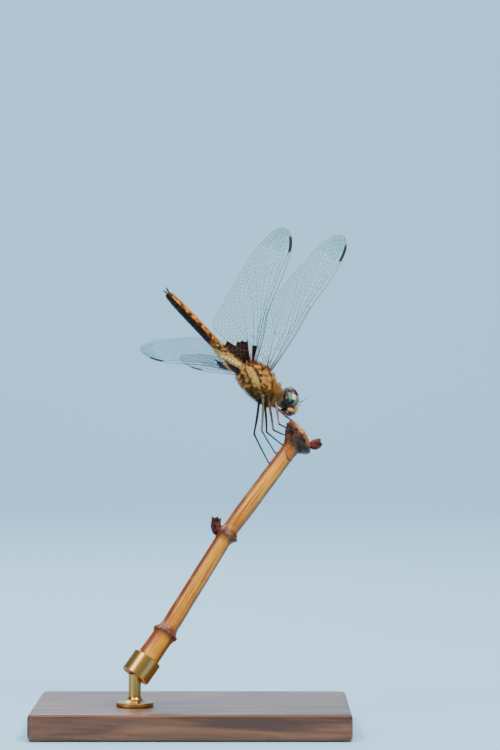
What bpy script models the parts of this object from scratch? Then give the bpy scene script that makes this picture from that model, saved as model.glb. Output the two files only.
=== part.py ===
"""A perching dragonfly gripping the tip of a cut twig, on a small display stand.

Lengths are in millimetres and are turned into metres by MM where a mesh is made.
The world has +Z up and its origin in the middle of the stand's underside.
The body frame lies in the middle of the thorax: +X to the head, +Y to the left, +Z to the back.
"""
import math

import bmesh
import bpy
from mathutils import Euler, Matrix, Vector

MM = 0.001
GAP = 0.15            # clear space between neighbouring pieces

# ---- where the animal stands and how it is turned
BODY_CENTRE = Vector((16.4, 12.0, 84.4))
BODY_TURN = (-37.5, 30.3, 18.8)        # roll, pitch and heading, degrees
NECK_POINT = Vector((6.95, 0.25, -1.5))
HEAD_TURN = (46.6, 2.6, -11.8)         # the head is held level while the body rolls
ABDOMEN_POINT = Vector((-6.0, 0.0, -0.6))
ABDOMEN_LIFT = 21.9

# ---- head, in its own frame: +X is the face, the origin is between the eyes
HEAD_BEHIND_NECK = 2.35                # the neck meets the head this far behind its origin
EYE_CENTRE = (0.05, 2.06, 0.78)
EYE_RADII = (2.05, 2.02, 2.78)
EYE_LEAN = 9.0                         # the eyes lean together at the top
HEAD_BACK = -2.3
PLATE_FRONT = -1.55                    # the flat back plate of the head ends here
CORE_FRONT = 0.9
FACE_CENTRE = (0.95, 0.0, -0.95)
FACE_RADII = (1.98, 1.9, 2.35)
FACE_LINES = (-1.05, -2.05)            # grooves under the frons and under the clypeus
LABIUM_TOP = -2.35
ANTENNA_RADIUS = 0.26

# ---- thorax stations: x, half width, top, bottom
THORAX = ((4.9, 0.9, -1.5, -3.1), (4.55, 1.7, -0.6, -4.2), (3.8, 2.15, 0.6, -5.1),
          (2.7, 2.5, 2.5, -5.7), (1.5, 2.7, 3.75, -5.9), (0.0, 2.8, 4.1, -5.75),
          (-1.6, 2.8, 4.1, -5.35), (-3.2, 2.65, 3.7, -4.6), (-4.6, 2.3, 2.7, -3.75),
          (-5.55, 1.95, 1.5, -2.95), (-5.95, 1.6, 0.9, -2.5))
PROTHORAX = ((6.0, 0.7, -1.0, -2.3), (5.85, 1.3, -0.65, -3.2), (5.5, 1.5, -0.8, -4.0),
             (5.1, 1.3, -1.6, -4.1))
THORAX_SQUARENESS = 2.35
HIPS = {"fore": (5.0, 0.75, -4.3), "mid": (3.3, 0.85, -5.6), "hind": (1.7, 0.9, -6.0)}

# ---- abdomen: each segment's length, and half width, top and bottom at its far end
SEGMENTS = ((1.1, 1.72, 1.5, 1.75), (2.1, 1.78, 1.45, 1.7), (3.9, 1.4, 1.22, 1.35),
            (3.9, 1.34, 1.18, 1.25), (3.7, 1.34, 1.18, 1.22), (3.5, 1.32, 1.16, 1.2),
            (3.1, 1.26, 1.1, 1.15), (2.0, 1.14, 0.98, 1.05), (1.3, 0.98, 0.84, 0.92),
            (0.7, 0.78, 0.66, 0.72))
ABDOMEN_START = (1.6, 1.45, 1.7)
CERCUS_LENGTH = 1.0

# ---- wings: outline points from the hinge, x to the tip and y to the leading edge
WING_THICKNESS = 0.55
FORE_LEADING = ((-0.4, 0.75), (4.0, 1.2), (10.0, 1.55), (17.5, 1.5), (25.0, 2.3),
                (31.0, 2.45), (34.6, 1.9), (36.4, 0.55))
FORE_TRAILING = ((-0.4, -1.5), (2.2, -4.6), (5.2, -7.0), (10.0, -7.75), (16.5, -7.6),
                 (22.0, -6.7), (28.9, -5.1), (33.2, -3.9), (35.9, -2.0), (36.6, -0.9))
HIND_LEADING = ((-0.4, 0.75), (3.5, 1.0), (8.0, 1.1), (13.0, 0.85), (21.0, 2.1),
                (27.0, 2.85), (30.8, 2.7), (32.9, 1.7), (33.7, 0.6))
HIND_OUTER = ((7.4, -11.5), (11.4, -10.7), (18.4, -8.7), (25.4, -6.3), (30.0, -4.2),
              (32.9, -2.0), (33.8, -0.6))
HIND_TRAILING = ((-0.4, -1.6), (-0.2, -3.2), (0.4, -5.3), (2.1, -8.2), (4.4, -10.8), *HIND_OUTER)
# swept further back, the left hind wing is narrower where it passes the abdomen
HIND_TRAILING_LEFT = ((-0.4, -1.6), (1.2, -3.2), (2.5, -5.3), (4.3, -8.2), (5.7, -10.4),
                      *HIND_OUTER)
# hinge place (right side), then sweep, raise and pitch in degrees
WINGS = {
    "wing_fore_right": ((0.8, -2.41, 3.35), -2.7, 40.6, -3.2, FORE_LEADING, FORE_TRAILING),
    "wing_fore_left": ((0.8, 2.41, 3.35), -14.2, 35.5, -3.0, FORE_LEADING, FORE_TRAILING),
    "wing_hind_right": ((-4.0, -2.41, 2.2), -21.5, 33.0, -4.9, HIND_LEADING, HIND_TRAILING),
    "wing_hind_left": ((-4.0, 2.41, 2.2), -31.0, 28.1, -7.4, HIND_LEADING, HIND_TRAILING_LEFT),
}

# ---- legs: the knee in the body frame, then the ankle and the toe on the twig,
# each as distance below the twig's top, angle round it and distance from its axis
LEG_RADII = {"femur": (0.36, 0.3), "tibia": (0.29, 0.26), "tarsus": (0.26, 0.25)}
LEGS = {
    "fore_left": ((9.45, 0.6, -5.75), (-0.43, 278.0, 2.75), (-0.3, 316.0, 1.6)),
    "fore_right": ((8.15, 0.55, -9.4), (2.5, 207.0, 4.66), (1.97, 174.0, 4.9)),
    "mid_left": ((7.3, 4.5, -10.0), (5.95, 275.0, 2.48), (4.2, 277.0, 3.3)),
    "mid_right": ((7.15, 0.6, -12.2), (3.75, 275.0, 3.56), (2.3, 276.0, 4.3)),
    "hind_left": ((4.5, 5.3, -12.0), (11.47, 289.0, 2.27), (10.3, 326.0, 2.27)),
    "hind_right": ((5.0, 2.3, -12.8), (8.67, 275.0, 2.3), (7.6, 312.0, 2.3)),
}

# ---- twig, in the world: its axis from the crown down to the cut end, and its radii
TWIG_TOP = Vector((27.1, 9.2, 71.8))
TWIG_NODE_1 = Vector((8.4, 1.7, 47.0))
TWIG_NODE_2 = Vector((-6.1, -5.5, 23.9))
TWIG_END = Vector((-12.7, -8.4, 14.7))
TWIG_RADII = {"upper": (1.8, 1.95), "middle": (2.0, 2.1), "lower": (2.7, 2.75)}
# distance below the top, radius, and how far the cap's slant has set in
CROWN = ((0.6, 1.4, 1.0), (0.9, 3.1, 1.0), (1.5, 4.2, 1.0), (2.3, 4.5, 1.0), (3.2, 4.0, 0.9),
         (4.3, 3.1, 0.6), (5.4, 2.3, 0.2), (6.4, 1.85, 0.0))
CROWN_SLANT = 0.33
UPPER_NODE = ((-2.0, 2.05), (-0.9, 2.5), (0.0, 3.15), (0.8, 2.95), (2.2, 2.15))
LOWER_NODE = ((-2.0, 2.15), (-0.8, 2.6), (0.0, 3.35), (0.8, 3.2), (1.8, 2.75))
BUD_PLACE, BUD_AXIS = Vector((0.6, -0.8, -3.4)), Vector((0.97, 0.0, 0.2))
BUD = ((0.0, 1.0), (1.5, 1.15), (2.4, 1.2), (3.1, 0.95), (3.8, 0.45))
SPUR_PLACE, SPUR_AXIS = Vector((-2.5, -0.1, 0.2)), Vector((-0.05, 0.0, 1.0))
SPUR = ((0.0, 0.95), (2.2, 1.0), (3.6, 0.95), (4.6, 0.6))

# ---- display stand
BASE_SIZE = Vector((76.0, 50.0, 6.5))
BASE_BEVEL = 1.2
ROD_RADIUS = 1.5
SOCKET_WALL = 0.7
SOCKET_DEPTH = 4.2

SIDES = 16            # round sections of the body
LIMB_SIDES = 8


# ---- helpers ----------------------------------------------------------------------

def clear_scene():
    """Leave nothing of an earlier model."""
    for old in list(bpy.data.objects):
        bpy.data.objects.remove(old, do_unlink=True)


def finish(name, colour, roughness, metallic=0.0):
    """A Principled material of one colour."""
    material = bpy.data.materials.new(name)
    material.use_nodes = True
    shader = material.node_tree.nodes["Principled BSDF"]
    shader.inputs["Base Color"].default_value = (*colour, 1.0)
    shader.inputs["Roughness"].default_value = roughness
    shader.inputs["Metallic"].default_value = metallic
    return material


def empty(name, parent=None, place=Vector(), turn=(0.0, 0.0, 0.0)):
    """A frame that pieces are parented to; place in millimetres, turn in degrees."""
    frame = bpy.data.objects.new(name, None)
    bpy.context.collection.objects.link(frame)
    frame.parent = parent
    frame.location = place * MM
    frame.rotation_euler = Euler([math.radians(angle) for angle in turn])
    return frame


def piece(name, bm, material, parent=None, place=Vector(), turn=None, smooth=True):
    """Turn a bmesh in millimetres into a named object in metres."""
    bmesh.ops.recalc_face_normals(bm, faces=bm.faces[:])
    bmesh.ops.scale(bm, vec=(MM, MM, MM), verts=bm.verts[:])
    mesh = bpy.data.meshes.new(name)
    bm.to_mesh(mesh)
    bm.free()
    if smooth:
        mesh.shade_smooth()
        mesh.set_sharp_from_angle(angle=math.radians(50))
    obj = bpy.data.objects.new(name, mesh)
    bpy.context.collection.objects.link(obj)
    obj.parent = parent
    obj.location = place * MM
    if turn is not None:
        obj.rotation_euler = turn.to_euler()
    mesh.materials.append(material)
    return obj


def cutter(obj):
    """A helper shape that only cuts others."""
    obj.hide_render = True
    obj.display_type = "WIRE"
    return obj


def cut(obj, tool):
    """Take the tool's shape out of the piece."""
    modifier = obj.modifiers.new("cut_" + tool.name, "BOOLEAN")
    modifier.operation = "DIFFERENCE"
    modifier.solver = "EXACT"
    modifier.object = tool


def ring(bm, sides, capped=False):
    """A circle of radius 1 that stands across the X axis; returns its vertices."""
    verts = bmesh.ops.create_circle(bm, segments=sides, radius=1.0, cap_ends=capped)["verts"]
    turn = Matrix.Rotation(math.radians(90), 4, "Z") @ Matrix.Rotation(math.radians(90), 4, "X")
    bmesh.ops.transform(bm, matrix=turn, verts=verts)
    return verts


def ring_edges(verts):
    """The edges that run round one ring."""
    members = set(verts)
    return [e for e in {e for v in verts for e in v.link_edges} if set(e.verts) <= members]


def skin_rings(bm, rings):
    """Join each ring to the next one."""
    for first, second in zip(rings, rings[1:]):
        bmesh.ops.bridge_loops(bm, edges=ring_edges(first) + ring_edges(second))


def body_loft(stations, squareness=2.2, sides=SIDES):
    """A closed body through stations of (x, half width, top z, bottom z)."""
    bm = bmesh.new()
    rings = []
    for index, (x, width, top, bottom) in enumerate(stations):
        capped = index in (0, len(stations) - 1)
        verts = ring(bm, sides, capped)
        middle, half = (top + bottom) / 2, (top - bottom) / 2
        for vert in verts:
            y, z = vert.co.y, vert.co.z
            swell = (abs(y) ** squareness + abs(z) ** squareness) ** (-1 / squareness)
            vert.co = (x, y * swell * width, middle + z * swell * half)
        rings.append(verts)
    skin_rings(bm, rings)
    return bm


def ellipsoid(centre, radii, around=18, along=12):
    """A stretched sphere with its poles at the left and right."""
    bm = bmesh.new()
    bmesh.ops.create_uvsphere(bm, u_segments=around, v_segments=along, radius=1.0)
    bmesh.ops.rotate(bm, matrix=Matrix.Rotation(math.radians(90), 3, "X"), verts=bm.verts[:])
    bmesh.ops.scale(bm, vec=radii, verts=bm.verts[:])
    bmesh.ops.translate(bm, vec=centre, verts=bm.verts[:])
    return bm


def slice_off(bm, point, outward):
    """Cut away what lies beyond a plane and close the cut."""
    geometry = bm.verts[:] + bm.edges[:] + bm.faces[:]
    result = bmesh.ops.bisect_plane(bm, geom=geometry, dist=1e-5, plane_co=point,
                                    plane_no=outward, clear_outer=True)
    edges = [g for g in result["geom_cut"] if isinstance(g, bmesh.types.BMEdge)]
    bmesh.ops.contextual_create(bm, geom=edges)
    return bm


def limb(name, start, end, radii, material, parent=None, belly=0.0):
    """A round rod from start to end with slightly domed ends, swollen by belly midway."""
    start, end = Vector(start), Vector(end)
    length = (end - start).length
    bm = bmesh.new()
    rings = []
    stations = ((0.0, 0.75), (0.06, 1.0), (0.35, 1.0), (0.7, 1.0), (0.95, 1.0), (1.0, 0.75))
    for index, (share, size) in enumerate(stations):
        verts = ring(bm, LIMB_SIDES, index in (0, len(stations) - 1))
        radius = radii[0] + (radii[1] - radii[0]) * share + belly * math.sin(math.pi * share)
        for vert in verts:
            vert.co = (share * length, vert.co.y * radius * size, vert.co.z * radius * size)
        rings.append(verts)
    skin_rings(bm, rings)
    turn = (end - start).to_track_quat("X", "Z")
    return piece(name, bm, material, parent, start, turn)


def smooth_line(points, share):
    """The point at a share of the way along a smooth curve through the points."""
    reach = [0.0]
    for a, b in zip(points, points[1:]):
        reach.append(reach[-1] + math.dist(a, b))
    goal = share * reach[-1]
    index = min(max(i for i, r in enumerate(reach) if r <= goal + 1e-9), len(points) - 2)
    t = (goal - reach[index]) / (reach[index + 1] - reach[index])
    a, b = points[index], points[index + 1]
    before = points[index - 1] if index else a
    after = points[index + 2] if index + 2 < len(points) else b
    out = []
    for p0, p1, p2, p3 in zip(before, a, b, after):
        out.append(0.5 * (2 * p1 + (p2 - p0) * t + (2 * p0 - 5 * p1 + 4 * p2 - p3) * t * t
                          + (3 * p1 - p0 - 3 * p2 + p3) * t ** 3))
    return out


# ---- the animal -------------------------------------------------------------------

def make_head(body, paint):
    """Two eyes, the back plate and core of the head, the face in three plates, the lips."""
    turn = Euler([math.radians(a) for a in HEAD_TURN]).to_matrix()
    centre = NECK_POINT + turn @ Vector((HEAD_BEHIND_NECK, 0.0, 0.1))
    head = empty("head_frame", body, centre, HEAD_TURN)
    eye_tools = []
    for side, sign in (("left", 1.0), ("right", -1.0)):
        place = Vector((EYE_CENTRE[0], sign * EYE_CENTRE[1], EYE_CENTRE[2]))
        lean = Matrix.Rotation(math.radians(sign * EYE_LEAN), 3, "X")
        for grow in (0.0, GAP):
            bm = ellipsoid((0, 0, 0), [r + grow for r in EYE_RADII], 22, 16)
            bmesh.ops.rotate(bm, matrix=lean, verts=bm.verts[:])
            bmesh.ops.translate(bm, vec=place, verts=bm.verts[:])
            slice_off(bm, (PLATE_FRONT + GAP - grow, 0, 0), (-1, 0, 0))
            if grow:
                tool = piece("tool_eye_" + side, bm, paint["eye"], head)
                eye_tools.append(cutter(tool))
            else:
                slice_off(bm, (0, sign * GAP / 2, 0), (0, -sign, 0))
                piece("eye_" + side, bm, paint["eye"], head)

    core = body_loft(((HEAD_BACK, 2.3, 2.3, -2.2), (-2.1, 3.2, 3.0, -2.32),
                      (PLATE_FRONT, 3.75, 3.3, -2.32), (-0.6, 3.5, 2.6, -2.3),
                      (0.3, 2.9, 1.0, -2.25), (CORE_FRONT, 2.2, 0.4, -2.2)), 2.2, 20)
    slice_off(core, (0, 0, LABIUM_TOP + GAP), (0, 0, -1))
    core_piece = piece("head", core, paint["head_back"], head)
    for tool in eye_tools:
        cut(core_piece, tool)

    bounds = (FACE_CENTRE[2] + FACE_RADII[2] + 1, *FACE_LINES, FACE_CENTRE[2] - FACE_RADII[2] - 1)
    for name, top, bottom in zip(("frons", "clypeus", "labrum"), bounds, bounds[1:]):
        bm = ellipsoid(FACE_CENTRE, FACE_RADII, 22, 16)
        slice_off(bm, (CORE_FRONT + GAP, 0, 0), (-1, 0, 0))
        slice_off(bm, (0, 0, top - GAP / 2), (0, 0, 1))
        slice_off(bm, (0, 0, bottom + GAP / 2), (0, 0, -1))
        plate = piece(name, bm, paint["face"], head)
        for tool in eye_tools:
            cut(plate, tool)

    lips = ellipsoid((-0.15, 0.0, -2.45), (1.75, 2.25, 1.15))
    slice_off(lips, (0, 0, LABIUM_TOP), (0, 0, 1))
    slice_off(lips, (CORE_FRONT, 0, 0), (1, 0, 0))
    piece("labium", lips, paint["mouth"], head)

    for side, sign in (("left", 1.0), ("right", -1.0)):
        limb("antenna_" + side, (2.6, sign * 0.45, 1.0), (3.3, sign * 0.95, 2.4),
             (ANTENNA_RADIUS, ANTENNA_RADIUS), paint["leg"], head)
    return head, centre, turn


def make_thorax(body, paint):
    """The wing-bearing thorax, the small prothorax before it, and the neck."""
    piece("thorax", body_loft(THORAX, THORAX_SQUARENESS, 20), paint["thorax"], body)
    grown = [(x, w + GAP, t + GAP, b - GAP) for x, w, t, b in THORAX]
    grown[0] = (grown[0][0] + GAP, *grown[0][1:])
    grown[-1] = (grown[-1][0] - GAP, *grown[-1][1:])
    tool = cutter(piece("tool_thorax", body_loft(grown, THORAX_SQUARENESS, 20),
                        paint["thorax"], body))
    front = piece("prothorax", body_loft(PROTHORAX, 2.0, 14), paint["thorax"], body)
    cut(front, tool)
    grown = [(x, w + GAP, t + GAP, b - GAP) for x, w, t, b in PROTHORAX]
    front_tool = cutter(piece("tool_prothorax", body_loft(grown, 2.0, 14), paint["thorax"], body))
    collar = Vector((PROTHORAX[0][0] + GAP, 0.15, -1.55))
    limb("neck", collar, NECK_POINT - Vector((2 * GAP, 0, 0)), (0.6, 0.6), paint["neck"], body)
    return tool, front_tool


def make_wing(name, body, tools, paint):
    """One wing as a thin cambered plate, its root cut clear of the body."""
    hinge, sweep, lift, pitch, leading, trailing = WINGS[name]
    side = 1.0 if hinge[1] > 0 else -1.0
    bm = bmesh.new()
    steps, strips = 22, 5
    grid = bmesh.ops.create_grid(bm, x_segments=steps, y_segments=strips, size=1.0)["verts"]
    for vert in grid:
        along, across = (vert.co.x + 1) / 2, (vert.co.y + 1) / 2
        front = Vector(smooth_line(leading, along))
        back = Vector(smooth_line(trailing, along))
        flat = back.lerp(front, across)
        camber = 0.25 * math.sin(math.pi * across) * math.sin(math.pi * min(1.0, along * 1.1))
        vert.co = (flat.y, side * flat.x, camber)
    turn = (Matrix.Rotation(math.radians(side * lift), 3, "X")
            @ Matrix.Rotation(math.radians(-side * sweep), 3, "Z")
            @ Matrix.Rotation(math.radians(-pitch), 3, "Y"))
    wing = piece(name, bm, paint["wing"], body, Vector(hinge), turn, smooth=False)
    solidify = wing.modifiers.new("thickness", "SOLIDIFY")
    solidify.thickness = WING_THICKNESS * MM
    solidify.offset = 0.0
    for tool in tools:
        cut(wing, tool)


def make_abdomen(body, tool, paint):
    """Ten ring segments, each a little flared behind, and the two end prongs."""
    frame = empty("abdomen_frame", body, ABDOMEN_POINT, (0.0, ABDOMEN_LIFT, 0.0))
    start, (width, top, bottom) = 0.3, ABDOMEN_START
    for number, (length, far_width, far_top, far_bottom) in enumerate(SEGMENTS, 1):
        end = start + length
        near, far = start + GAP / 2, end - GAP / 2
        middle = (near + far) / 2
        slim = 0.97 if number > 2 else 1.04
        stations = ((-near, width, top, -bottom),
                    (-middle, slim * (width + far_width) / 2, slim * (top + far_top) / 2,
                     -slim * (bottom + far_bottom) / 2),
                    (-far, far_width, far_top, -far_bottom))
        segment = piece(f"abdomen_{number:02d}", body_loft(stations, 2.0, SIDES),
                        paint["abdomen"], frame)
        if number == 1:
            cut(segment, tool)
        start, width, top, bottom = end, far_width, far_top, far_bottom
    grown = [(0.0, ABDOMEN_START[0], ABDOMEN_START[1], -ABDOMEN_START[2])]
    reach = 0.3
    for length, width, top, bottom in SEGMENTS[:5]:
        reach += length
        grown.append((-reach, width, top, -bottom))
    grown = [(x, w + 2 * GAP, t + 2 * GAP, b - 2 * GAP) for x, w, t, b in grown]
    around = cutter(piece("tool_abdomen", body_loft(grown, 2.0, SIDES), paint["abdomen"], frame))
    tip = start + GAP
    for side, sign in (("left", 1.0), ("right", -1.0)):
        limb("cercus_" + side, (-tip, sign * 0.34, 0.28),
             (-tip - CERCUS_LENGTH, sign * 0.62, 0.42), (0.27, 0.25), paint["leg"], frame)
    return around


def twig_point(below, angle, radius):
    """A place beside the twig: distance below its top, angle round it and from its axis."""
    down = (TWIG_NODE_1 - TWIG_TOP).normalized()
    away = Vector((0, 1, 0))
    away = (away - away.dot(down) * down).normalized()
    right = down.cross(away)
    spoke = away * math.cos(math.radians(angle)) + right * math.sin(math.radians(angle))
    return TWIG_TOP + down * below + spoke * radius


def joint_room(before, after, radius):
    """How far a rod stops short of a bend so that it clears the rod beyond it."""
    half = before.angle(-after) / 2
    return (GAP / 2 + radius * math.cos(half)) / math.sin(half)


def make_leg(name, body, attitude, tools, paint):
    """Thigh, shin and foot, from the underside of the thorax to the twig."""
    pair, side = name.split("_")
    hip = Vector(HIPS[pair])
    hip.y *= 1.0 if side == "left" else -1.0
    knee, ankle, toe = (Vector(LEGS[name][0]), twig_point(*LEGS[name][1]),
                        twig_point(*LEGS[name][2]))
    ankle = attitude.inverted() @ (ankle - BODY_CENTRE)
    toe = attitude.inverted() @ (toe - BODY_CENTRE)
    places = (hip, knee, ankle, toe)
    back = [(a - b).normalized() for a, b in zip(places, places[1:])]
    for index, part in enumerate(("femur", "tibia", "tarsus")):
        start, end = places[index], places[index + 1]
        if index > 0:
            start = start - back[index] * joint_room(back[index - 1], back[index],
                                                     LEG_RADII[part][0])
        if index < 2:
            end = end + back[index] * joint_room(back[index], back[index + 1],
                                                 LEG_RADII[part][1])
        rod = limb(f"leg_{name}_{part}", start, end, LEG_RADII[part], paint["leg"], body)
        if part == "femur":
            for tool in tools:
                cut(rod, tool)


# ---- the perch and the stand ------------------------------------------------------

def twig_length(name, top, bottom, radii, material, trim_top, trim_bottom, bow=0.0):
    """One length of twig between two of its nodes, slightly bowed."""
    axis = (bottom - top).normalized()
    start, end = top + axis * trim_top, bottom - axis * trim_bottom
    length = (end - start).length
    bm = bmesh.new()
    rings = []
    for index in range(7):
        share = index / 6
        verts = ring(bm, SIDES, index in (0, 6))
        radius = radii[0] + (radii[1] - radii[0]) * share
        for vert in verts:
            vert.co = (share * length, vert.co.y * radius,
                       vert.co.z * radius + bow * math.sin(math.pi * share))
        rings.append(verts)
    skin_rings(bm, rings)
    return piece(name, bm, material, None, start, axis.to_track_quat("X", "Z"))


def lumpy_turning(name, centre, axis, profile, wobble, lobes, material, slant=0.0):
    """A turned knob about an axis, with a wavy and perhaps slanting rim."""
    bm = bmesh.new()
    rings = []
    for index, (distance, radius, *slanted) in enumerate(profile):
        verts = ring(bm, SIDES, index in (0, len(profile) - 1))
        lean = slant * slanted[0] if slanted else 0.0
        for vert in verts:
            angle = math.atan2(vert.co.z, vert.co.y)
            size = radius * (1 + wobble * math.cos(lobes * angle + index * 0.6))
            vert.co = (distance - lean * vert.co.z * radius, vert.co.y * size, vert.co.z * size)
        rings.append(verts)
    skin_rings(bm, rings)
    return piece(name, bm, material, None, centre, axis.to_track_quat("X", "Z"))


def make_twig(paint):
    """Three lengths of twig, two nodes, the swollen crown and two buds."""
    down = (TWIG_NODE_1 - TWIG_TOP).normalized()
    lower_down = (TWIG_NODE_2 - TWIG_NODE_1).normalized()
    crown = lumpy_turning("twig_crown", TWIG_TOP, down, CROWN, 0.04, 3, paint["knot"], CROWN_SLANT)
    twig_length("twig_upper", TWIG_TOP, TWIG_NODE_1, TWIG_RADII["upper"], paint["twig"],
                CROWN[-1][0] + GAP, 2.0 + GAP)
    upper_node = lumpy_turning("twig_node_upper", TWIG_NODE_1, down, UPPER_NODE, 0.04, 2, paint["knot"])
    twig_length("twig_middle", TWIG_NODE_1, TWIG_NODE_2, TWIG_RADII["middle"],
                paint["twig"], 2.2 + 2 * GAP, 2.0 + GAP)
    lumpy_turning("twig_node_lower", TWIG_NODE_2, lower_down, LOWER_NODE, 0.03, 2, paint["knot"])
    twig_length("twig_lower", TWIG_NODE_2, TWIG_END, TWIG_RADII["lower"], paint["twig"],
                1.8 + 2 * GAP, 0.0)
    bud = lumpy_turning("twig_bud", TWIG_TOP + BUD_PLACE, BUD_AXIS, BUD, 0.06, 3, paint["bud"])
    spur = lumpy_turning("twig_spur", TWIG_NODE_1 + SPUR_PLACE, SPUR_AXIS, SPUR, 0.06, 3,
                         paint["bud"])
    for shoot, parent, turned in ((bud, crown, CROWN), (spur, upper_node, UPPER_NODE)):
        grown = [(row[0], row[1] + 1.5 * GAP, *row[2:]) for row in turned]
        grown[0] = (grown[0][0] - 1.5 * GAP, *grown[0][1:])
        place = TWIG_TOP if parent is crown else TWIG_NODE_1
        slant = CROWN_SLANT if parent is crown else 0.0
        tool = lumpy_turning("tool_" + parent.name, place, down, grown, 0.04,
                             3 if parent is crown else 2, paint["knot"], slant)
        cut(shoot, cutter(tool))


def make_stand(paint):
    """A wooden base, a short brass rod and a leaning socket round the twig's cut end."""
    bm = bmesh.new()
    bmesh.ops.create_cube(bm, size=1.0)
    bmesh.ops.scale(bm, vec=BASE_SIZE, verts=bm.verts[:])
    bmesh.ops.translate(bm, vec=(0, 0, BASE_SIZE.z / 2), verts=bm.verts[:])
    base = piece("stand_base", bm, paint["wood"], smooth=False)
    bevel = base.modifiers.new("edge", "BEVEL")
    bevel.width = BASE_BEVEL * MM
    bevel.segments = 3

    axis = (TWIG_END - TWIG_NODE_2).normalized()
    inner = TWIG_RADII["lower"][1] + GAP
    outer = inner + SOCKET_WALL
    bottom = TWIG_END + axis * GAP
    bm = bmesh.new()
    rings = []
    profile = ((-SOCKET_DEPTH, outer), (1.2, outer), (1.2, 0.0), (0.0, 0.0), (0.0, inner),
               (-SOCKET_DEPTH, inner))
    points = [bm.verts.new((x, r, 0.0)) for x, r in profile if r > 0.0]
    for a, b in zip(points, points[1:] + points[:1]):
        if (a, b) != (points[1], points[2]):
            rings.append(bm.edges.new((a, b)))
    bmesh.ops.spin(bm, geom=points + rings, cent=(0, 0, 0), axis=(1, 0, 0), dvec=(0, 0, 0),
                   angle=math.tau, steps=24, use_merge=True, use_duplicate=False)
    bmesh.ops.holes_fill(bm, edges=[e for e in bm.edges if e.is_boundary], sides=0)
    socket = piece("stand_socket", bm, paint["brass"], None, bottom, axis.to_track_quat("X", "Z"))

    foot = bottom + axis * 1.2
    floor = BASE_SIZE.z + GAP
    bm = bmesh.new()
    rings = []
    top = foot.z + 0.6
    profile = ((floor, 4.5), (floor + 0.9, 4.5), (floor + 1.6, ROD_RADIUS + 0.5),
               (floor + 2.4, ROD_RADIUS), (top, ROD_RADIUS))
    for index, (height, radius) in enumerate(profile):
        verts = bmesh.ops.create_circle(bm, segments=24, radius=radius,
                                        cap_ends=index in (0, len(profile) - 1))["verts"]
        bmesh.ops.translate(bm, vec=(foot.x, foot.y, height), verts=verts)
        rings.append(verts)
    skin_rings(bm, rings)
    rod = piece("stand_rod", bm, paint["brass"])
    bm = bmesh.new()
    bmesh.ops.create_cone(bm, cap_ends=True, segments=24, radius1=outer + GAP,
                          radius2=outer + GAP, depth=SOCKET_DEPTH + 1.2 + 2 * GAP)
    bmesh.ops.rotate(bm, matrix=Matrix.Rotation(math.radians(90), 3, "Y"), verts=bm.verts[:])
    bmesh.ops.translate(bm, vec=((1.2 - SOCKET_DEPTH) / 2, 0, 0), verts=bm.verts[:])
    tool = cutter(piece("tool_socket", bm, paint["brass"], None, bottom,
                        axis.to_track_quat("X", "Z")))
    cut(rod, tool)
    return socket


def main():
    clear_scene()
    paint = {
        "eye": finish("eye", (0.30, 0.36, 0.33), 0.18),
        "head_back": finish("head_back", (0.02, 0.016, 0.014), 0.4),
        "face": finish("face", (0.78, 0.50, 0.20), 0.35),
        "mouth": finish("mouth", (0.10, 0.05, 0.03), 0.4),
        "neck": finish("neck", (0.16, 0.10, 0.06), 0.6),
        "thorax": finish("thorax", (0.42, 0.28, 0.11), 0.5),
        "abdomen": finish("abdomen", (0.62, 0.25, 0.04), 0.35),
        "leg": finish("leg", (0.04, 0.03, 0.035), 0.35),
        "wing": finish("wing", (0.72, 0.80, 0.78), 0.2),
        "twig": finish("twig", (0.66, 0.42, 0.17), 0.35),
        "knot": finish("knot", (0.36, 0.18, 0.07), 0.7),
        "bud": finish("bud", (0.22, 0.05, 0.05), 0.6),
        "wood": finish("wood", (0.16, 0.09, 0.05), 0.4),
        "brass": finish("brass", (0.75, 0.58, 0.30), 0.28, 1.0),
    }
    body = empty("body_frame", None, BODY_CENTRE, BODY_TURN)
    attitude = Euler([math.radians(a) for a in BODY_TURN]).to_matrix()
    tools = make_thorax(body, paint)
    make_head(body, paint)
    around_abdomen = make_abdomen(body, tools[0], paint)
    for name in WINGS:
        make_wing(name, body, (tools[0], around_abdomen), paint)
    for name in LEGS:
        make_leg(name, body, attitude, tools, paint)
    make_twig(paint)
    make_stand(paint)


main()
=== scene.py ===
# %% [markdown]
# # A perching dragonfly
# A plain solid model of a dragonfly on a twig already exists, with every piece in its true place.
# This lesson dresses it: veined wings, a hairy thorax, banded eyes, spiny legs, bark, a stand.
# The solids give the places, so all new pieces are built in the same frame, in real size.

# %% Load the solid model
import math
import random

import bmesh
import bpy
from mathutils import Euler, Matrix, Vector, noise


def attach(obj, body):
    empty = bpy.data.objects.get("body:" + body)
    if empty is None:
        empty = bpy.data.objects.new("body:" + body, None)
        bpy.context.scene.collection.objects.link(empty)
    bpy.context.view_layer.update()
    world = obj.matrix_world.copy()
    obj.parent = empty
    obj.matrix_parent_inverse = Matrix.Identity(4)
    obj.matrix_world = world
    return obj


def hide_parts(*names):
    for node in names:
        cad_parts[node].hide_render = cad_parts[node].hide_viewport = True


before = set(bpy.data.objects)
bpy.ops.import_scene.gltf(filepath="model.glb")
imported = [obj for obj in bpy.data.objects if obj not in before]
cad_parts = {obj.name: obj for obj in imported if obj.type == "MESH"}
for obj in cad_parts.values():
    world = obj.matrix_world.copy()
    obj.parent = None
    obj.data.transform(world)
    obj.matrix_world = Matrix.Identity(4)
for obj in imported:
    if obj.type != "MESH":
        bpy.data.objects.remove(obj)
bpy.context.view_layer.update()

# %% [markdown]
# ## Frames of reference
# An insect is easiest to shape in its own frame, where +X runs to the head, +Y to its left
# and +Z to its back. A matrix then carries a finished shape to its place on the twig. The
# abdomen and the head each have a frame of their own, because both are bent on the body.
# Everything is shaped in millimetres and made into metres by the last matrix.

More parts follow.
